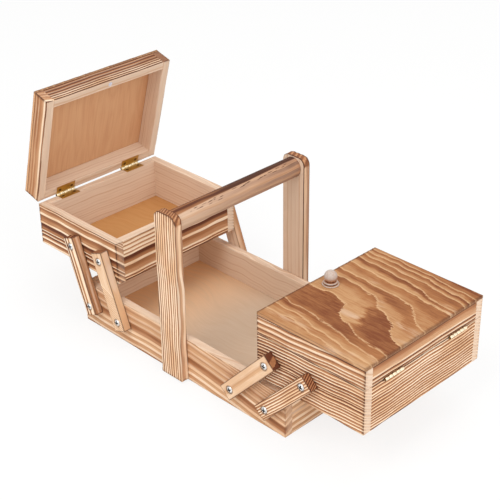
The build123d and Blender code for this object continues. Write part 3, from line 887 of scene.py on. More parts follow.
class CARRIER_OT_tray_boards(CarrierOperator):
    """Makes the four boards round the tray"""

    bl_idname = "carrier.tray_boards"
    bl_label = "Tray Boards"

    def execute(self, context):
        for name, (seed, face, faces, look) in TRAY_LOOKS.items():
            node = f"base_{name}_board"
            low, high = span_of(node)
            faces = {face: 1.0} | faces
            figure = Figure(seed, grain_axis(face), Z, faces, joined=joined_sides(face), **look)
            piece = board(f"tray_{name}_board", low, high, figure)
            finish_piece(piece, "brushed_pine", "base", node)
        return {"FINISHED"}


class CARRIER_OT_tray_floor(CarrierOperator):
    """Makes the plywood bottom of the tray"""

    bl_idname = "carrier.tray_floor"
    bl_label = "Tray Bottom"

    def execute(self, context):
        low, high = span_of("base_floor_panel")
        # Its burn holds only the painted warm shade under the left box, fading out towards the
        # right.
        figure = Figure(
            21, X, Y, {}, pitch=16.0, share=0.3, wave=5.0, wave_length=160, relief=0,
            burn=((0, 1),), along=((0, 1), (60, 0.6), (120, 0)),
        )
        piece = board("tray_bottom", low, high, figure, sizes().panel_ease, TRAY_COLUMN)
        finish_piece(piece, "birch_plywood", "base", "base_floor_panel")
        return {"FINISHED"}


# The figure of the near upright and of the far one, and the radius of their top corners.
UPRIGHT_LOOKS = {
    LOW: dict(
        pitch=3.1, wave=0.55, char=1.0, burn=((0, 0.9), (8, 0.55), (29, 0.6), (30, 0.42))),
    HIGH: dict(
        pitch=5.6, wave=0.3, char=1.7, burn=((0, 0.9), (8, 0.55), (29, 0.6), (30, 0.5)),
        seared={(Y, LOW): 2.8}, crest=((0, 0.6),)),
}
UPRIGHT_CORNER = 8.0
# The charred flecks on the crossbar, and how many of them lie in its near half.
FLECKS, NEAR_FLECKS = 26, 12


class CARRIER_OT_handle(CarrierOperator):
    """Makes the two uprights and the crossbar"""

    bl_idname = "carrier.handle"
    bl_label = "Handle"

    def execute(self, context):
        for side, look in UPRIGHT_LOOKS.items():
            node = "near_upright" if side == LOW else "far_upright"
            low, high = span_of(node)
            faces = {(Y, side): 1.0, (X, LOW): 0.8, (X, HIGH): 0.8, (Z, HIGH): 0.9}
            faces[(Y, -side)] = 0.05
            figure = Figure(
                31 + side, Z, X, faces, share=0.5, spread=0.22, wave_length=110, rise=0.006,
                reach=(0.3, 1.8), scorched={(Z, HIGH): 0.68}, round=UPRIGHT_CORNER, **look,
            )
            piece = self.upright(node, low, high, figure)
            finish_piece(piece, "brushed_pine", "base", node)
        finish_piece(self.rod(), "brushed_pine", "base", "handle_crossbar")
        return {"FINISHED"}

    def rod(self):
        """A round crossbar, burnt in a band along its top and pale below.

        u runs along it, and turn goes round it in degrees from its top.
        """
        low, high = (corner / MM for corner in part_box("handle_crossbar"))
        radius, span, middle = (high.x - low.x) / 2, high.y - low.y, (low.z + high.z) / 2
        piece = bar("crossbar", (0, 0, middle), Y, radius, span, 132)
        ease_sharp(piece, 0.4 * MM)
        cut_rows(piece, Y, 84)
        places = corners(piece)
        u = places[:, Y] - low.y
        turn = np.degrees(np.arctan2(places[:, X], places[:, Z] - middle))
        around = np.radians(turn) * radius
        swell = 0.5 * np.sin(u / 13) + 0.3 * np.sin(u / 5.1 + 1)
        edge = np.interp(u, (0, 30, 168), (36, 31, 14)) + 1.5 * swell
        band = (1 - step(-3, 3, turn - edge)) * step(-115, -105, turn)
        flow = around + swell * 0.6
        pale = np.interp(u, (0, 60, 100, 168), (0.34, 0.48, 0.56, 0.78))
        plain = (1 - band) * np.interp(u, (0, 80, 168), (0.65, 0.4, 0.2))
        store(
            piece, ring=flow / 7.0 + 20, burn=np.maximum(0.9 * band, pale),
            crest=np.zeros(len(u)), flamed=1 - plain, char=self.flecks(u, turn, edge, band),
            grain=np.stack([u + 1300, flow, np.full(len(u), 3.0)], axis=1),
        )
        smooth(piece)
        return piece

    def flecks(self, u, turn, edge, band):
        """Where the rod is charred: its top band, thin flecks below it and a spot at its end."""
        char = band * np.interp(u, (0, 50, 80), (0.3, 0.6, 1.25)) * step(-20, 4, edge - turn)
        char = np.maximum(char, np.interp(u, (0, 60, 168), (0.22, 0.32, 0.26)))
        draw = random.Random(7)
        for number in range(FLECKS):
            near = number < NEAR_FLECKS
            along = draw.uniform(16, 80) if near else draw.uniform(85, 160)
            below = draw.uniform(4, 26) if near else draw.uniform(4, 20)
            reach, off = draw.uniform(1.5, 4.5), np.abs(turn - edge - below)
            fleck = (1 - step(0.8, 2.6, off)) * (1 - step(reach * 0.6, reach, np.abs(u - along)))
            char = np.maximum(char, draw.uniform(1.2, 2.2) * fleck)
        spot = np.exp(-(((u - 157) / 11) ** 2) - ((turn - 40) / 28) ** 2)
        return np.maximum(char, 0.6 * spot)

    def upright(self, name, low, high, figure):
        """A board with its two top corners rounded."""
        size, corner, piece = sizes(), figure.round, cube(name, low, high)
        places, ends = corners(piece), edge_ends(piece)
        middle = (places[ends[:, 0]] + places[ends[:, 1]]) / 2
        top = (middle[:, Z] > high[Z] - 1) & (np.abs(middle[:, X]) > 1)
        open_with(piece, "edges", top)
        bevel(corner * MM, 6)
        ease_sharp(piece, size.edge_ease)
        self.slice_corners(piece, low, high, corner)
        for axis, cell in ((Z, size.column / MM), (X, size.row / MM), (Y, size.row / MM)):
            cut_rows(piece, axis, max(1, round((high[axis] - low[axis]) / cell)))
        dress(piece, low, high, figure)
        return piece

    def slice_corners(self, piece, low, high, corner):
        """Cuts the two broad faces at the height of each vertex of the rounded corners."""
        def broad(places):
            return np.minimum(places[:, Y] - low[Y], high[Y] - places[:, Y]) < 0.001

        places = corners(piece)
        heights = places[broad(places) & (places[:, Z] > high[Z] - corner - 1), Z]
        for height in sorted(set(np.round(heights, 3)))[:-1]:
            flat = broad(corners(piece))
            faces = [flat[list(each.vertices)].all() for each in piece.data.polygons]
            open_with(piece, "polygons", faces)
            bpy.ops.mesh.bisect(
                plane_co=(0, 0, height * MM), plane_no=(0, 0, 1), threshold=0.000005
            )
            close_edit()


# The figure of each near arm. The far ones have rings of an even pitch.
ARM_LOOKS = {
    "left_near_outer": dict(
        ridges=((4.6, 7.2), (10.0, 15.2)), burn=((0, 1.3), (4, 1.1), (7, 0.5), (17, 0.8))),
    "left_near_inner": dict(
        pitch=3.5, spread=0.05, rise=1.1, share=0.5, burn=((0, 0.05),), wave=0.1, lean=0.0,
        relief=0.3, crest=((0, 0.9),),
        scorched={(X, HIGH): 0.6, (X, LOW): 0.4, (Z, LOW): -0.2, (Z, HIGH): -0.2}),
    "right_near_inner": dict(
        ridges=((-3.0, 7.0), (10.5, 22.0)), burn=((0, 0.15),), relief=0.3, crest=((0, 0.5),)),
    "right_near_outer": dict(
        pitch=2.5, share=0.45, burn=((0, 0.62),), rise=-0.03, relief=0.5),
}


class CARRIER_OT_arms(CarrierOperator):
    """Makes the eight arms that the boxes swing on"""

    bl_idname = "carrier.arms"
    bl_label = "Arms"

    def execute(self, context):
        for number, name in enumerate(
            f"{side}_{place}_{row}"
            for side in SIDES for place in ("near", "far") for row in ("inner", "outer")
        ):
            look = ARM_LOOKS.get(name, dict(pitch=3.0 + number % 3, burn=((0, 0.5),)))
            self.arm(name, 41 + number, look)
        return {"FINISHED"}

    def arm(self, place, seed, look):
        size, name, side = sizes(), f"{place}_arm", place.split("_")[0]
        sign = LOW if "near" in place else HIGH
        run, (near, far) = arm_run(side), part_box(name)
        reach = math.hypot(run.x, run.z) / MM
        end, half = size.arm_end / MM, size.arm_width / MM / 2
        low, high = (-end, near.y / MM, -half), (reach + end, far.y / MM, half)
        faces = {(Y, sign): 1.0, (Z, LOW): 0.2, (Z, HIGH): 0.2, (X, LOW): 0.3, (X, HIGH): 0.3}
        burnt = {(X, HIGH): 0.95, (X, LOW): 0.6, (Z, LOW): 0.3, (Z, HIGH): 0.3}
        look = {"wave": 0.3, "wave_length": 140, "char": 1.1, "scorched": burnt,
                "reach": (0.2, 1.3)} | look
        figure = Figure(seed, X, Z, faces, **look)
        outer = high[Y] if sign == HIGH else low[Y]
        radius, depth = size.recess_radius / MM, 2 * size.recess_depth / MM
        middles = [(along, outer, 0) for along in (0, reach)]
        cuts = [partial(bar, "recess", middle, Y, radius, depth) for middle in middles]
        # Painted shade in the recess round each pivot screw's head, fading out just past its rim.
        spots = [(middle, 4.5, 5.5) for middle in middles]
        piece = board(name, low, high, figure, None, ARM_COLUMN, cuts, spots=spots)
        swing = f"{side}_swing" if place.endswith("near_inner") else f"{place}_swing"
        apply_place(piece, arm_frame(side, swing))
        finish_piece(piece, "brushed_pine", name, name)


def box_faces(axis, side, end=0.36):
    """The flamed faces of a box's board: its outside, and less its ends and its rim."""
    faces = {(axis, side): 1.0, (Z, HIGH): 0.15}
    if axis == Y:
        faces.update({(X, LOW): end, (X, HIGH): end})
    return faces


def joined_sides(face):
    """Where a board with that outside face meets the boards next to it."""
    axis, side = face
    if axis == Y:
        return (((X, LOW), (Y, -side)), ((X, HIGH), (Y, -side)))
    return (((Y, LOW),), ((Y, HIGH),))


def rim_pieces(low, high):
    """The four boards of a box or a lid between two heights: name, corners, outside face."""
    inner = HALF_WIDTH - BOARD
    return (
        ("one", (0, -HALF_WIDTH, low), (BOX_LENGTH, -inner, high), (Y, LOW)),
        ("two", (0, inner, low), (BOX_LENGTH, HALF_WIDTH, high), (Y, HIGH)),
        ("inner", (0, -inner, low), (BOARD, inner, high), (X, LOW)),
        ("outer", (BOX_LENGTH - BOARD, -inner, low), (BOX_LENGTH, inner, high), (X, HIGH)),
    )


def world_name(side, name):
    """The left box is turned round, so its first long side is the far one."""
    first, second = ("near", "far") if side == "right" else ("far", "near")
    return {"one": first, "two": second}.get(name, name)


def surround(part, kind, low, high, seed, looks, underside):
    """The four boards round both boxes, or the four rails round both lids."""
    rim, up = (high, LOW) if part == "box" else (low, HIGH)
    for s, side in enumerate(SIDES):
        for n, (name, start, end, face) in enumerate(rim_pieces(low, high)):
            name = world_name(side, name)
            look = looks.get((side, name), looks["others"])
            look = dict(look, joined=joined_sides(face), char=1.3, reach=(0.3, 1.2))
            faces = box_faces(*face, look.pop("end", 0.36)) | underside
            figure = Figure(seed + 4 * s + n, grain_axis(face), Z, faces, **look)
            cuts, spots = [], ()
            if name == "inner":
                middle = (BOARD / 2, 0, rim)
                cuts = [partial(bar, "magnet hole", middle, Z, MAGNET_HOLE, MAGNET_CUT)]
            if name == "outer":
                # Painted shade behind the hinge knuckles.
                cuts, spots = hinge_seats(up), knuckle_shade_spots(rim)
            node = f"{side}_{part}_{name}_{kind}"
            piece = board(node, start, end, figure, cuts=cuts, spots=spots)
            apply_place(piece, frame_of(side, part))
            finish_piece(piece, "brushed_pine", f"{side}_{part}", node)


# The figure of each board of a box that shows, and of the others.
BOX_LOOKS = {
    "others": dict(pitch=3.6, rise=0.02, wave=0.5),
    ("left", "near"): dict(
        ridges=((0.9, 1.8), (7.6, 10.6), (18.7, 21.2), (28.9, 30.1), (32.8, 34.2), (37.8, 40.3),
                (44.4, 47.2)), rise=-0.012, lean=-0.9, end=0.95, fade=0.2,
        burn=((0, 0.9), (1, 0.55), (18, 0.65), (22, 1.0), (37, 1.0), (41, 0.7), (48, 0.9)),
    ),
    ("left", "inner"): dict(
        ridges=((2.2, 5.2), (6.8, 10.2), (11.8, 14.8), (16.2, 18.6), (26.8, 30.2), (40.0, 42.6)),
        burn=((0, 0.5), (16, 0.5), (19, 1.0), (25, 1.0), (32, 0.5), (39, 0.6), (48, 0.9)),
    ),
    ("right", "near"): dict(
        pitch=3.3, share=0.42, spread=0.4, rise=0.06, lean=-0.5,
        burn=((0, 0.6), (6, 0.7), (11, 1.2), (16, 0.8), (22, 1.2), (30, 0.8), (48, 0.7)),
        along=((0, 1.2), (60, 1.0), (132, 0.8)), seared={(Z, HIGH): 1.8}, end=0.45, fade=0.6),
    ("right", "outer"): dict(
        pitch=3.3, share=0.45, rise=0.01, burn=((0, 0.75),), seared={(Z, HIGH): 1.8}),
}


class CARRIER_OT_box_boards(CarrierOperator):
    """Makes the boards round both boxes"""

    bl_idname = "carrier.box_boards"
    bl_label = "Box Boards"

    def execute(self, context):
        surround("box", "board", 0, BOX_HEIGHT, 61, BOX_LOOKS, {})
        return {"FINISHED"}


# The butt hinges, in millimetres: where they sit across the box, half the length of a leaf and
# of its seat, the place of the pin, the leaf's thickness and the depth of its seat, the radius
# of a knuckle and of the room that is cut for it, and the row and the radius of the nail holes.
HINGE_PLACES = (-46, 46)
LEAF_HALF, SEAT_HALF = 12.5, 12.6
PIN_X, PIN_Z = BOX_LENGTH + 1.1, BOX_HEIGHT + GAP / 2
LEAF, SEAT = 0.8, 0.9
KNUCKLE, KNUCKLE_ROOM = 1.6, 1.9
NAIL_X, NAIL_Y, NAIL_HOLE = 127.25, 8, 1.75


def knuckle_shade_spots(face):
    """Painted shade behind the knuckles, put into the char of a board's outside: middle, from and
    to.
    """
    return [
        ((BOX_LENGTH, middle + 4.0 * number, face), 1.7, 3.0)
        for middle in HINGE_PLACES for number in range(-3, 4)
    ]


def hinge_seats(up):
    """Cutters for the mortises and the room for the knuckles on a rim."""
    face = BOX_HEIGHT + (GAP if up == HIGH else 0)
    low, high = sorted((face - up * 1.0, face + up * SEAT))
    cuts = []
    for middle in HINGE_PLACES:
        start = (BOX_LENGTH - BOARD - 1, middle - SEAT_HALF, low)
        cuts.append(partial(cube, "seat", start, (BOX_LENGTH + 1, middle + SEAT_HALF, high)))
        pin = (PIN_X, middle, PIN_Z)
        cuts.append(partial(bar, "room", pin, Y, KNUCKLE_ROOM, 2 * SEAT_HALF, 24))
    return cuts


class CARRIER_OT_box_floors(CarrierOperator):
    """Makes the plywood floors of both boxes"""

    bl_idname = "carrier.box_floors"
    bl_label = "Box Floors"

    def execute(self, context):
        inner = HALF_WIDTH - BOARD
        low, high = (BOARD, -inner, 0), (BOX_LENGTH - BOARD, inner, FLOOR_TOP)
        look = dict(pitch=14.0, share=0.3, wave=4.0, relief=0, burn=((0, 0),))
        for n, side in enumerate(SIDES):
            figure = Figure(81 + n, X, Y, {}, **look)
            name, ease = f"{side}_box_floor", sizes().panel_ease
            piece = board(name, low, high, figure, ease, FLOOR_COLUMN)
            apply_place(piece, frame_of(side, "box"))
            finish_piece(piece, "amber_plywood", f"{side}_box", f"{name}_panel")
        return {"FINISHED"}


# The figure of each rail of a lid that shows, and of the others.
LID_LOOKS = {
    "others": dict(pitch=3.4, rise=0.02),
    ("left", "near"): dict(
        ridges=((-4.0, -2.0), (3.5, 4.5), (8.0, 9.0), (14.6, 17.6)), wave=0.3, end=0.9, fade=0.0,
        burn=((0, 0.6), (12, 0.4), (17, 0.7), (20, 1.0)), lean=-0.3,
        crest=((0, 0.05), (10, 0.05), (14, 0.9)), relief=0.4, spread=0.1,
    ),
    ("left", "inner"): dict(
        pitch=4.0, share=0.5, spread=0.4, wave=0.3, relief=0.5,
        burn=((0, 1.0), (8, 1.1), (13, 1.3), (20, 1.3)), crest=((0, 0.15), (10, 0.3), (15, 0.7)),
    ),
    ("left", "far"): dict(pitch=2.3, end=0.95, fade=0.0, burn=((0, 0.9),), crest=((0, 0.2),)),
    ("right", "near"): dict(
        ridges=((0.6, 1.2), (2.4, 3.0), (5.6, 8.0), (11.2, 13.8), (17.4, 19.0)),
        pitch=3.0, share=0.5, rise=0.07, burn=((0, 0.9), (4, 0.6), (20, 0.75)),
        crest=((0, 0.8),), lean=-0.5),
    ("right", "outer"): dict(
        ridges=((-3.0, -1.0), (10.6, 12.8), (15.0, 17.0)), pitch=4.0, share=0.5, wave=0.3,
        burn=((0, 0.6), (10, 0.4), (13, 1.1), (20, 1.0)), crest=((0, 0.8),)),
}


class CARRIER_OT_lid_rails(CarrierOperator):
    """Makes the rails round both lids"""

    bl_idname = "carrier.lid_rails"
    bl_label = "Lid Rails"

    def execute(self, context):
        surround("lid", "rail", RAIL_LOW, RAIL_HIGH, 91, LID_LOOKS, {(Z, LOW): 0.1})
        return {"FINISHED"}


# The light ring lines on a lid, from its far edge to its near one. Each is a row of places,
# from the inner end and from the near edge, in millimetres.
LID_LINES = (
    ((0, 174), (65, 172), (132, 165)),
    ((0, 163), (65, 161), (100, 158), (132, 155)),
    ((0, 156), (65, 155), (105, 150), (132, 146.5)),
    ((0, 150), (40, 147.5), (90, 145), (132, 139)),
    ((0, 142), (42, 139), (65, 137.5), (90, 132), (110, 125.5), (132, 123.5)),
    ((0, 130), (40, 125), (65, 124), (100, 121), (132, 117)),
    ((0, 113.6), (40, 110), (65, 109.5), (95, 106), (103, 100), (118, 84), (126, 80), (132, 80)),
    ((0, 102), (35, 99), (60, 96), (68, 91), (75, 81), (88, 78), (104, 70), (109, 58), (118, 50),
     (132, 46)),
    ((0, 70), (12, 69), (25, 72), (36, 70), (51, 66), (55, 51), (65, 45), (87, 35), (110, 29),
     (132, 27)),
    ((0, 36), (12, 33), (32, 32.5), (60, 29), (87, 23), (132, 15)),
    ((0, 23.6), (35, 22), (55, 17.5), (90, 12), (132, 6)),
    ((0, 12), (35, 12.6), (60, 8), (132, -3)),
    ((0, -2), (60, -4), (132, -14)),
)
# The wood below each of those lines: how dark it starts at four places along the lid, how much
# of that it keeps, and over how much of its width it holds it. The places are shares of the
# lid's length.
LID_STATIONS = (0.0, 0.5, 0.64, 1.0)
LID_TONES = (
    ((0.6, 0.8, 0.9, 0.9), 0.7, 0.2), ((0.7, 0.7, 0.8, 0.85), 0.3, 0.2),
    ((0.45, 0.8, 0.8, 0.9), 0.4, 0.3), ((0.6, 0.65, 0.7, 0.7), 0.65, 0.4),
    ((0.75, 0.95, 0.9, 0.6), 0.1, 0.3), ((0.45, 0.5, 0.55, 0.7), 0.5, 0.4),
    ((0.65, 0.8, 0.8, 0.3), 0.25, 0.4), ((0.85, 0.6, 0.85, 0.95), 0.7, 0.9),
    ((0.75, 0.9, 0.85, 0.45), 0.85, 0.9), ((0.85, 0.65, 0.5, 0.2), 0.35, 0.3),
    ((0.45, 0.35, 0.3, 0.1), 0.5, 0.3), ((0.3, 0.3, 0.2, 0.1), 0.6, 0.3),
    ((0.3, 0.3, 0.2, 0.1), 0.8, 0.3),
)
# One of those rings is calmer at its first places: what it keeps there and how long it holds.
CALM_RING, CALM_STATIONS, CALM_LOOK = 7, 2, (0.15, 0.0)


class CARRIER_OT_lid_panels(CarrierOperator):
    """Makes the flamed plywood panels on top of the lids"""

    bl_idname = "carrier.lid_panels"
    bl_label = "Lid Panels"

    def execute(self, context):
        low, high = (0, -HALF_WIDTH, RAIL_HIGH), (BOX_LENGTH, HALF_WIDTH, LID_TOP)
        faces = {(Z, HIGH): 1.0, (X, LOW): 0.6, (X, HIGH): 0.8, (Y, LOW): 0.8}
        look = dict(burn=((0, 0.4),), char=0.7, reach=(0.1, 0.9))
        for n, side in enumerate(SIDES):
            figure, name = Figure(101 + n, X, Y, faces, **look), f"{side}_lid_panel"
            piece = board(name, low, high, figure, sizes().panel_ease, count=self.count)
            self.streaks(piece)
            apply_place(piece, frame_of(side, "lid"))
            finish_piece(piece, "lid_plywood", f"{side}_lid", name)
        return {"FINISHED"}

    def lines(self, u):
        return np.stack([at(line, u) for line in LID_LINES])

    def count(self, u, w):
        """The ring count on a lid: how many light lines lie beyond each place."""
        wave = 0.7 * np.sin(u / 7.0) + 0.5 * np.sin(u / 3.1 + w / 9.0)
        edges = self.lines(u)
        rings = np.zeros(len(u))
        for above, below in zip(edges, edges[1:]):
            rings += np.clip((above - (w + wave)) / (above - below), 0, 1)
        return rings

    def streaks(self, piece):
        """Where each place lies along the lid, how wide its ring is and how far it frays."""
        places = corners(piece)
        u, w = places[:, X], places[:, Y] + HALF_WIDTH
        lines, before, after = (self.lines(u + shift) for shift in (0, -2, 2))
        ring = np.clip(np.floor(self.count(u, w)).astype(int), 0, len(LID_LINES) - 2)
        every = np.arange(len(u))
        wide = lines[ring, every] - lines[ring + 1, every]
        slope = np.abs(after - before)[ring, every] + np.abs(after - before)[ring + 1, every]
        ragged = 1.4 + 0.5 * np.sin(w / 3.3) + 0.4 * np.sin(w / 1.4 + 1)
        deepen_char(piece, 0.75 * (1 - step(0.1, ragged, BOX_LENGTH - u)))
        deepen_char(piece, 0.9 * (1 - step(0.5, ragged * 1.2, u)))
        store(piece, along=u / BOX_LENGTH, thin=1 / wide, feather=(1.2 + 2.2 * slope) / wide)


class CARRIER_OT_small_parts(CarrierOperator):
    """Finishes the magnets, nails, pins, knob screws and dowels, which keep their CAD shape"""

    bl_idname = "carrier.small_parts"
    bl_label = "Small Parts"

    def execute(self, context):
        for name, node in frame["nodes"].items():
            for words, finish in (
                ("magnet", "plated_magnet"), ("knob_screw", "zinc_steel"),
                ("hinge_nails", "dark_brass"), ("hinge_pins", "dark_brass"),
                ("dowels", "lathe_wood"),
            ):
                if words in name:
                    coat(node, finish)
        return {"FINISHED"}


# A pivot screw as (radius, height) pairs from its tip to its crown, and its slot: half its
# length and half its width, and the heights that it is cut between.
SCREW_HEAD = 2.2
SCREW_SHANK = [(0, -16.2), (2, -13.7), (2, -0.05)]
SCREW_CROWN = [(3.55, 0), (3.7, 0.15), (3.7, 0.5), (3.5, 1.05), (3.1, 1.45), (2.5, 1.8),
               (1.7, 2.05), (0.9, 2.17), (0, SCREW_HEAD)]
SLOT = (2.4, 0.7, 0.9, 3)


class CARRIER_OT_screws(CarrierOperator):
    """Turns the pivot screws and cuts their cross slots"""

    bl_idname = "carrier.screws"
    bl_label = "Pivot Screws"

    def execute(self, context):
        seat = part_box("left_lower_screws")[1].y / MM - SCREW_HEAD
        start = self.screw()
        draw = random.Random(5)
        for side in SIDES:
            run = arm_run(side)
            for level, body, rise in (("lower", "base", run * 0), ("upper", f"{side}_box", run)):
                twins = []
                for arm in ("swing", "near_outer_swing", "far_inner_swing", "far_outer_swing"):
                    low = Vector(joint(f"{side}_{arm}")["pos_m"]) + rise
                    sign = HIGH if "far" in arm else LOW
                    place = Matrix.Translation((low.x, sign * seat * MM, low.z))
                    place = place @ Matrix.Rotation(-sign * TURN / 4, 4, "X")
                    place = place @ Matrix.Rotation(draw.uniform(-0.5, 0.5), 4, "Z")
                    twins.append(copy_of(start, "screw", place))
                piece = join(f"{side}_{level}_pivot_screws", twins)
                finish_piece(piece, "zinc_steel", body, f"{side}_{level}_screws")
        drop(start)
        return {"FINISHED"}

    def screw(self):
        """A round-headed screw with a cross slot, with painted shade inside the slot."""
        piece = turned("screw", SCREW_SHANK + SCREW_CROWN)
        long, wide, low, high = SLOT
        cut_with(piece, cube("slot", (-long, -wide, low), (long, wide, high)))
        cut_with(piece, cube("slot", (-wide, -long, low), (wide, long, high)))
        centre = face_values(piece, "center") / MM
        radii, heights = zip(*reversed(SCREW_CROWN))
        crown = np.interp(np.hypot(centre[:, X], centre[:, Y]), radii, heights)
        # Painted shade inside the cross slot.
        inside = (centre[:, Z] > low - 0.1) & (centre[:, Z] < crown - 0.12)
        store(piece, "FACE", slot=inside)
        smooth(piece)
        return piece


def face_values(piece, name):
    values = np.empty(len(piece.data.polygons) * 3)
    piece.data.polygons.foreach_get(name, values)
    return values.reshape(-1, 3)


class CARRIER_OT_hinges(CarrierOperator):
    """Makes the leaves of the butt hinges, with their knuckles"""

    bl_idname = "carrier.hinges"
    bl_label = "Hinges"

    def execute(self, context):
        for part, knuckles, low, high in (
            ("box", (-10, 0, 10), BOX_HEIGHT - LEAF, BOX_HEIGHT),
            ("lid", (-5, 5), RAIL_LOW, RAIL_LOW + LEAF),
        ):
            start = self.leaf(knuckles, low, high)
            for side in SIDES:
                place = frame_of(side, part)
                twins = [
                    copy_of(start, "leaf", place @ Matrix.Translation((0, middle * MM, 0)))
                    for middle in HINGE_PLACES
                ]
                piece = join(f"{side}_{part}_leaves", twins)
                node = f"{side}_{part}_hinge_leaves"
                finish_piece(piece, "old_brass", f"{side}_{part}", node)
            drop(start)
        return {"FINISHED"}

    def leaf(self, knuckles, low, high):
        """A plate with its nail holes, and the tabs that run into its knuckles."""
        inner, outer = 122.8, 131.25
        ends = (inner, -LEAF_HALF, low), (outer, LEAF_HALF, high)
        plate = start_block("leaf", *ends, 0.12 * MM)
        for y in (-NAIL_Y, NAIL_Y):
            cut_with(plate, bar("hole", (NAIL_X, y, low), Z, NAIL_HOLE, 4))
        parts = [plate]
        for y in knuckles:
            ends = (outer - 0.25, y - 2.3, low), (PIN_X, y + 2.3, high)
            parts.append(start_block("tab", *ends, 0.1 * MM))
            parts.append(bar("knuckle", (PIN_X, y, PIN_Z), Y, KNUCKLE, 4.75, 36))
            ease_sharp(parts[-1], 0.25 * MM)
        piece = join("leaf", parts)
        centre, normal = face_values(piece, "center") / MM, face_values(piece, "normal")
        barrel, end = centre[:, X] > outer + 0.05, np.abs(normal[:, Y]) > 0.5
        hole = np.hypot(centre[:, X] - NAIL_X, np.abs(centre[:, Y]) - NAIL_Y) < NAIL_HOLE + 0.05
        hole &= np.abs(normal[:, Z]) < 0.5
        # Painted shade in the nail holes, on the knuckles' ends and on the plate's edge between
        # the knuckles; a painted highlight on the knuckles' round faces.
        dark = hole | (barrel & end) | ((normal[:, X] > 0.9) & ~barrel)
        store(piece, "FACE", slot=dark, polish=barrel & ~end)
        smooth(piece)
        return piece


# A knob: from the lid's inner end to its axis, its two collars and its neck as (radius,
# height) pairs, and its ball's radius, height and lowest angle.
KNOB_IN = 16
KNOB_FOOT = ((0, 0), (8.2, 0), (8.4, 0.25), (8.4, 0.65), (8.15, 0.9), (5.7, 0.95), (5.6, 1.1),
             (5.6, 1.85), (5.75, 2.0), (6.55, 2.05), (6.8, 2.3), (6.8, 2.95), (6.5, 3.2),
             (5.2, 3.5), (4.75, 3.8))
BALL, BALL_MIDDLE, BALL_START = 6.4, 8.4, -0.77


class CARRIER_OT_knobs(CarrierOperator):
    """Turns the knob of each lid"""

    bl_idname = "carrier.knobs"
    bl_label = "Knobs"

    def execute(self, context):
        profile = list(KNOB_FOOT)
        for part in range(1, 13):
            angle = BALL_START + (math.pi / 2 - BALL_START) * part / 12
            profile.append((BALL * math.cos(angle), BALL_MIDDLE + BALL * math.sin(angle)))
        profile[-1] = (0, BALL_MIDDLE + BALL)
        start = turned("knob", profile)
        places = corners(start)
        reach = np.hypot(places[:, X], places[:, Y])
        # Slot: painted shade in the neck groove, and the ball darker towards its bottom.
        groove = ((places[:, Z] > 0.85) & (places[:, Z] < 4.2) & (reach < 5.9)).astype(float)
        ball = (places[:, Z] >= 3.7) * (1 - step(4.5, 9.5, places[:, Z]))
        store(start, slot=np.maximum(groove * 0.95, ball * 0.6))
        smooth(start)
        seat = Matrix.Translation(Vector((KNOB_IN, 0, LID_TOP)) * MM)
        for side in SIDES:
            piece = copy_of(start, f"{side}_knob", frame_of(side, "lid") @ seat)
            finish_piece(piece, "lathe_wood", f"{side}_lid", f"{side}_lid_knob")
        drop(start)
        return {"FINISHED"}


WHITE = (1, 1, 1, 1)
# How far the floor glows white to the camera, and how strongly the world lights the carrier.
FLOOR_VEIL, WORLD_LIGHT = 0.8, 0.72
# Each lamp: its name, its place and its size in metres, and its power in watts.
LAMPS = (
    ("key", (0.2, -1.7, 1.9), 1.6, 24.0),
    ("fill", (1.9, -0.3, 1.4), 1.8, 19.0),
    ("top", (0.1, 0.6, 2.2), 1.6, 8.0),
)
LAMP_AIM = (0, 0, 0.08)
# The camera that was solved on the photo: its turn, rise and roll in degrees, its place in
# metres and its lens in millimetres.
CAMERA_TURN = (45.691, 29.553, -0.842)
CAMERA_PLACE = (0.80104, -0.76209, 0.73796)
CAMERA_LENS = 89.75


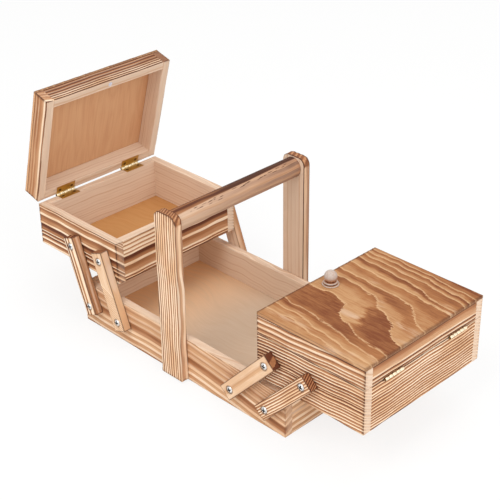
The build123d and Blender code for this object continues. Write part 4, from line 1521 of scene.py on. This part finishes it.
class CARRIER_OT_stage(CarrierOperator):
    """Sets the floor, the lamps, the world and the camera"""

    bl_idname = "carrier.stage"
    bl_label = "Stage"

    def execute(self, context):
        self.floor()
        self.lamps()
        self.world()
        self.camera()
        return {"FINISHED"}

    def floor(self):
        """A wide floor that is nearly white to the camera and takes a soft shadow."""
        bpy.ops.object.select_all(action="DESELECT")
        bpy.ops.mesh.primitive_plane_add(size=8, location=(0, 0, -0.0002))
        floor = settle("floor")
        sheet = Sheet(bpy.data.materials.new("floor"))
        mottle = sheet.noise(sheet.place(), 6.0, 2.0, 0.5)
        base = sheet.shade(tuple(colours().floor), 0.99 + mottle * 0.02)
        plain = sheet.add("ShaderNodeBsdfDiffuse", None, {"Color": base})
        white = sheet.add("ShaderNodeEmission", None, {"Color": WHITE, "Strength": 1.0})
        veil = sheet.rays("Camera") * FLOOR_VEIL
        both = sheet.add("ShaderNodeMixShader", None, {0: veil, 1: plain, 2: white})
        sheet.add("ShaderNodeOutputMaterial", None, {"Surface": both})
        floor.data.materials.append(sheet.owner)

    def lamps(self):
        for name, place, size, power in LAMPS:
            bpy.ops.object.select_all(action="DESELECT")
            bpy.ops.object.light_add(type="AREA", location=place)
            lamp = bpy.context.active_object
            lamp.name = name
            lamp.data.energy, lamp.data.size, lamp.data.shape = power, size, "DISK"
            aim = Vector(LAMP_AIM) - Vector(place)
            lamp.rotation_euler = aim.to_track_quat("-Z", "Y").to_euler()

    def world(self):
        """White where it is seen, straight, in metal or through glass, and softer as a lamp."""
        world = bpy.context.scene.world or bpy.data.worlds.new("studio")
        bpy.context.scene.world = world
        sheet = Sheet(world)
        soft, white = (
            sheet.add("ShaderNodeBackground", None, {"Color": WHITE, "Strength": strength})
            for strength in (WORLD_LIGHT, 1.0)
        )
        seen = sheet.rays("Camera").larger(sheet.rays("Glossy").larger(sheet.rays("Transmission")))
        mixed = sheet.add("ShaderNodeMixShader", None, {0: seen, 1: soft, 2: white})
        sheet.add("ShaderNodeOutputWorld", None, {"Surface": mixed})

    def camera(self):
        turn, rise, roll = (math.radians(degrees) for degrees in CAMERA_TURN)
        back = Vector((
            math.sin(turn) * math.cos(rise), -math.cos(turn) * math.cos(rise), math.sin(rise)
        ))
        right = Vector((0, 0, 1)).cross(back).normalized()
        facing = Matrix((right, back.cross(right), back)).transposed().to_4x4()
        facing = facing @ Matrix.Rotation(roll, 4, "Z")
        bpy.ops.object.camera_add()
        camera = bpy.context.active_object
        camera.matrix_world = Matrix.Translation(CAMERA_PLACE) @ facing
        camera.data.lens, camera.data.sensor_width = CAMERA_LENS, 36
        camera.data.clip_end = 20
        bpy.context.scene.camera = camera
        bpy.context.scene.view_settings.view_transform = "Standard"


OPERATORS = (
    CARRIER_OT_stage,
    CARRIER_OT_tray_boards,
    CARRIER_OT_tray_floor,
    CARRIER_OT_handle,
    CARRIER_OT_arms,
    CARRIER_OT_box_boards,
    CARRIER_OT_box_floors,
    CARRIER_OT_lid_rails,
    CARRIER_OT_lid_panels,
    CARRIER_OT_small_parts,
    CARRIER_OT_screws,
    CARRIER_OT_hinges,
    CARRIER_OT_knobs,
)


class CARRIER_PT_panel(bpy.types.Panel):
    """Lists the steps that make the carrier"""

    bl_idname = "CARRIER_PT_panel"
    bl_label = "Sewing Carrier"
    bl_space_type = "VIEW_3D"
    bl_region_type = "UI"
    bl_category = "Sewing Carrier"

    def draw(self, context):
        column = self.layout.column()
        for operator in OPERATORS:
            column.operator(operator.bl_idname)
        for group in (context.scene.carrier_sizes, context.scene.carrier_colours):
            for name in group.__annotations__:
                column.prop(group, name)


CLASSES = (CarrierSizes, CarrierColours, *OPERATORS, CARRIER_PT_panel)


def register():
    for each in CLASSES:
        bpy.utils.register_class(each)
    bpy.types.Scene.carrier_sizes = bpy.props.PointerProperty(type=CarrierSizes)
    bpy.types.Scene.carrier_colours = bpy.props.PointerProperty(type=CarrierColours)


def unregister():
    del bpy.types.Scene.carrier_colours
    del bpy.types.Scene.carrier_sizes
    for each in reversed(CLASSES):
        bpy.utils.unregister_class(each)


def main():
    register()
    for operator in OPERATORS:
        group, name = operator.bl_idname.split(".")
        getattr(getattr(bpy.ops, group), name)()


if __name__ == "__main__":
    main()
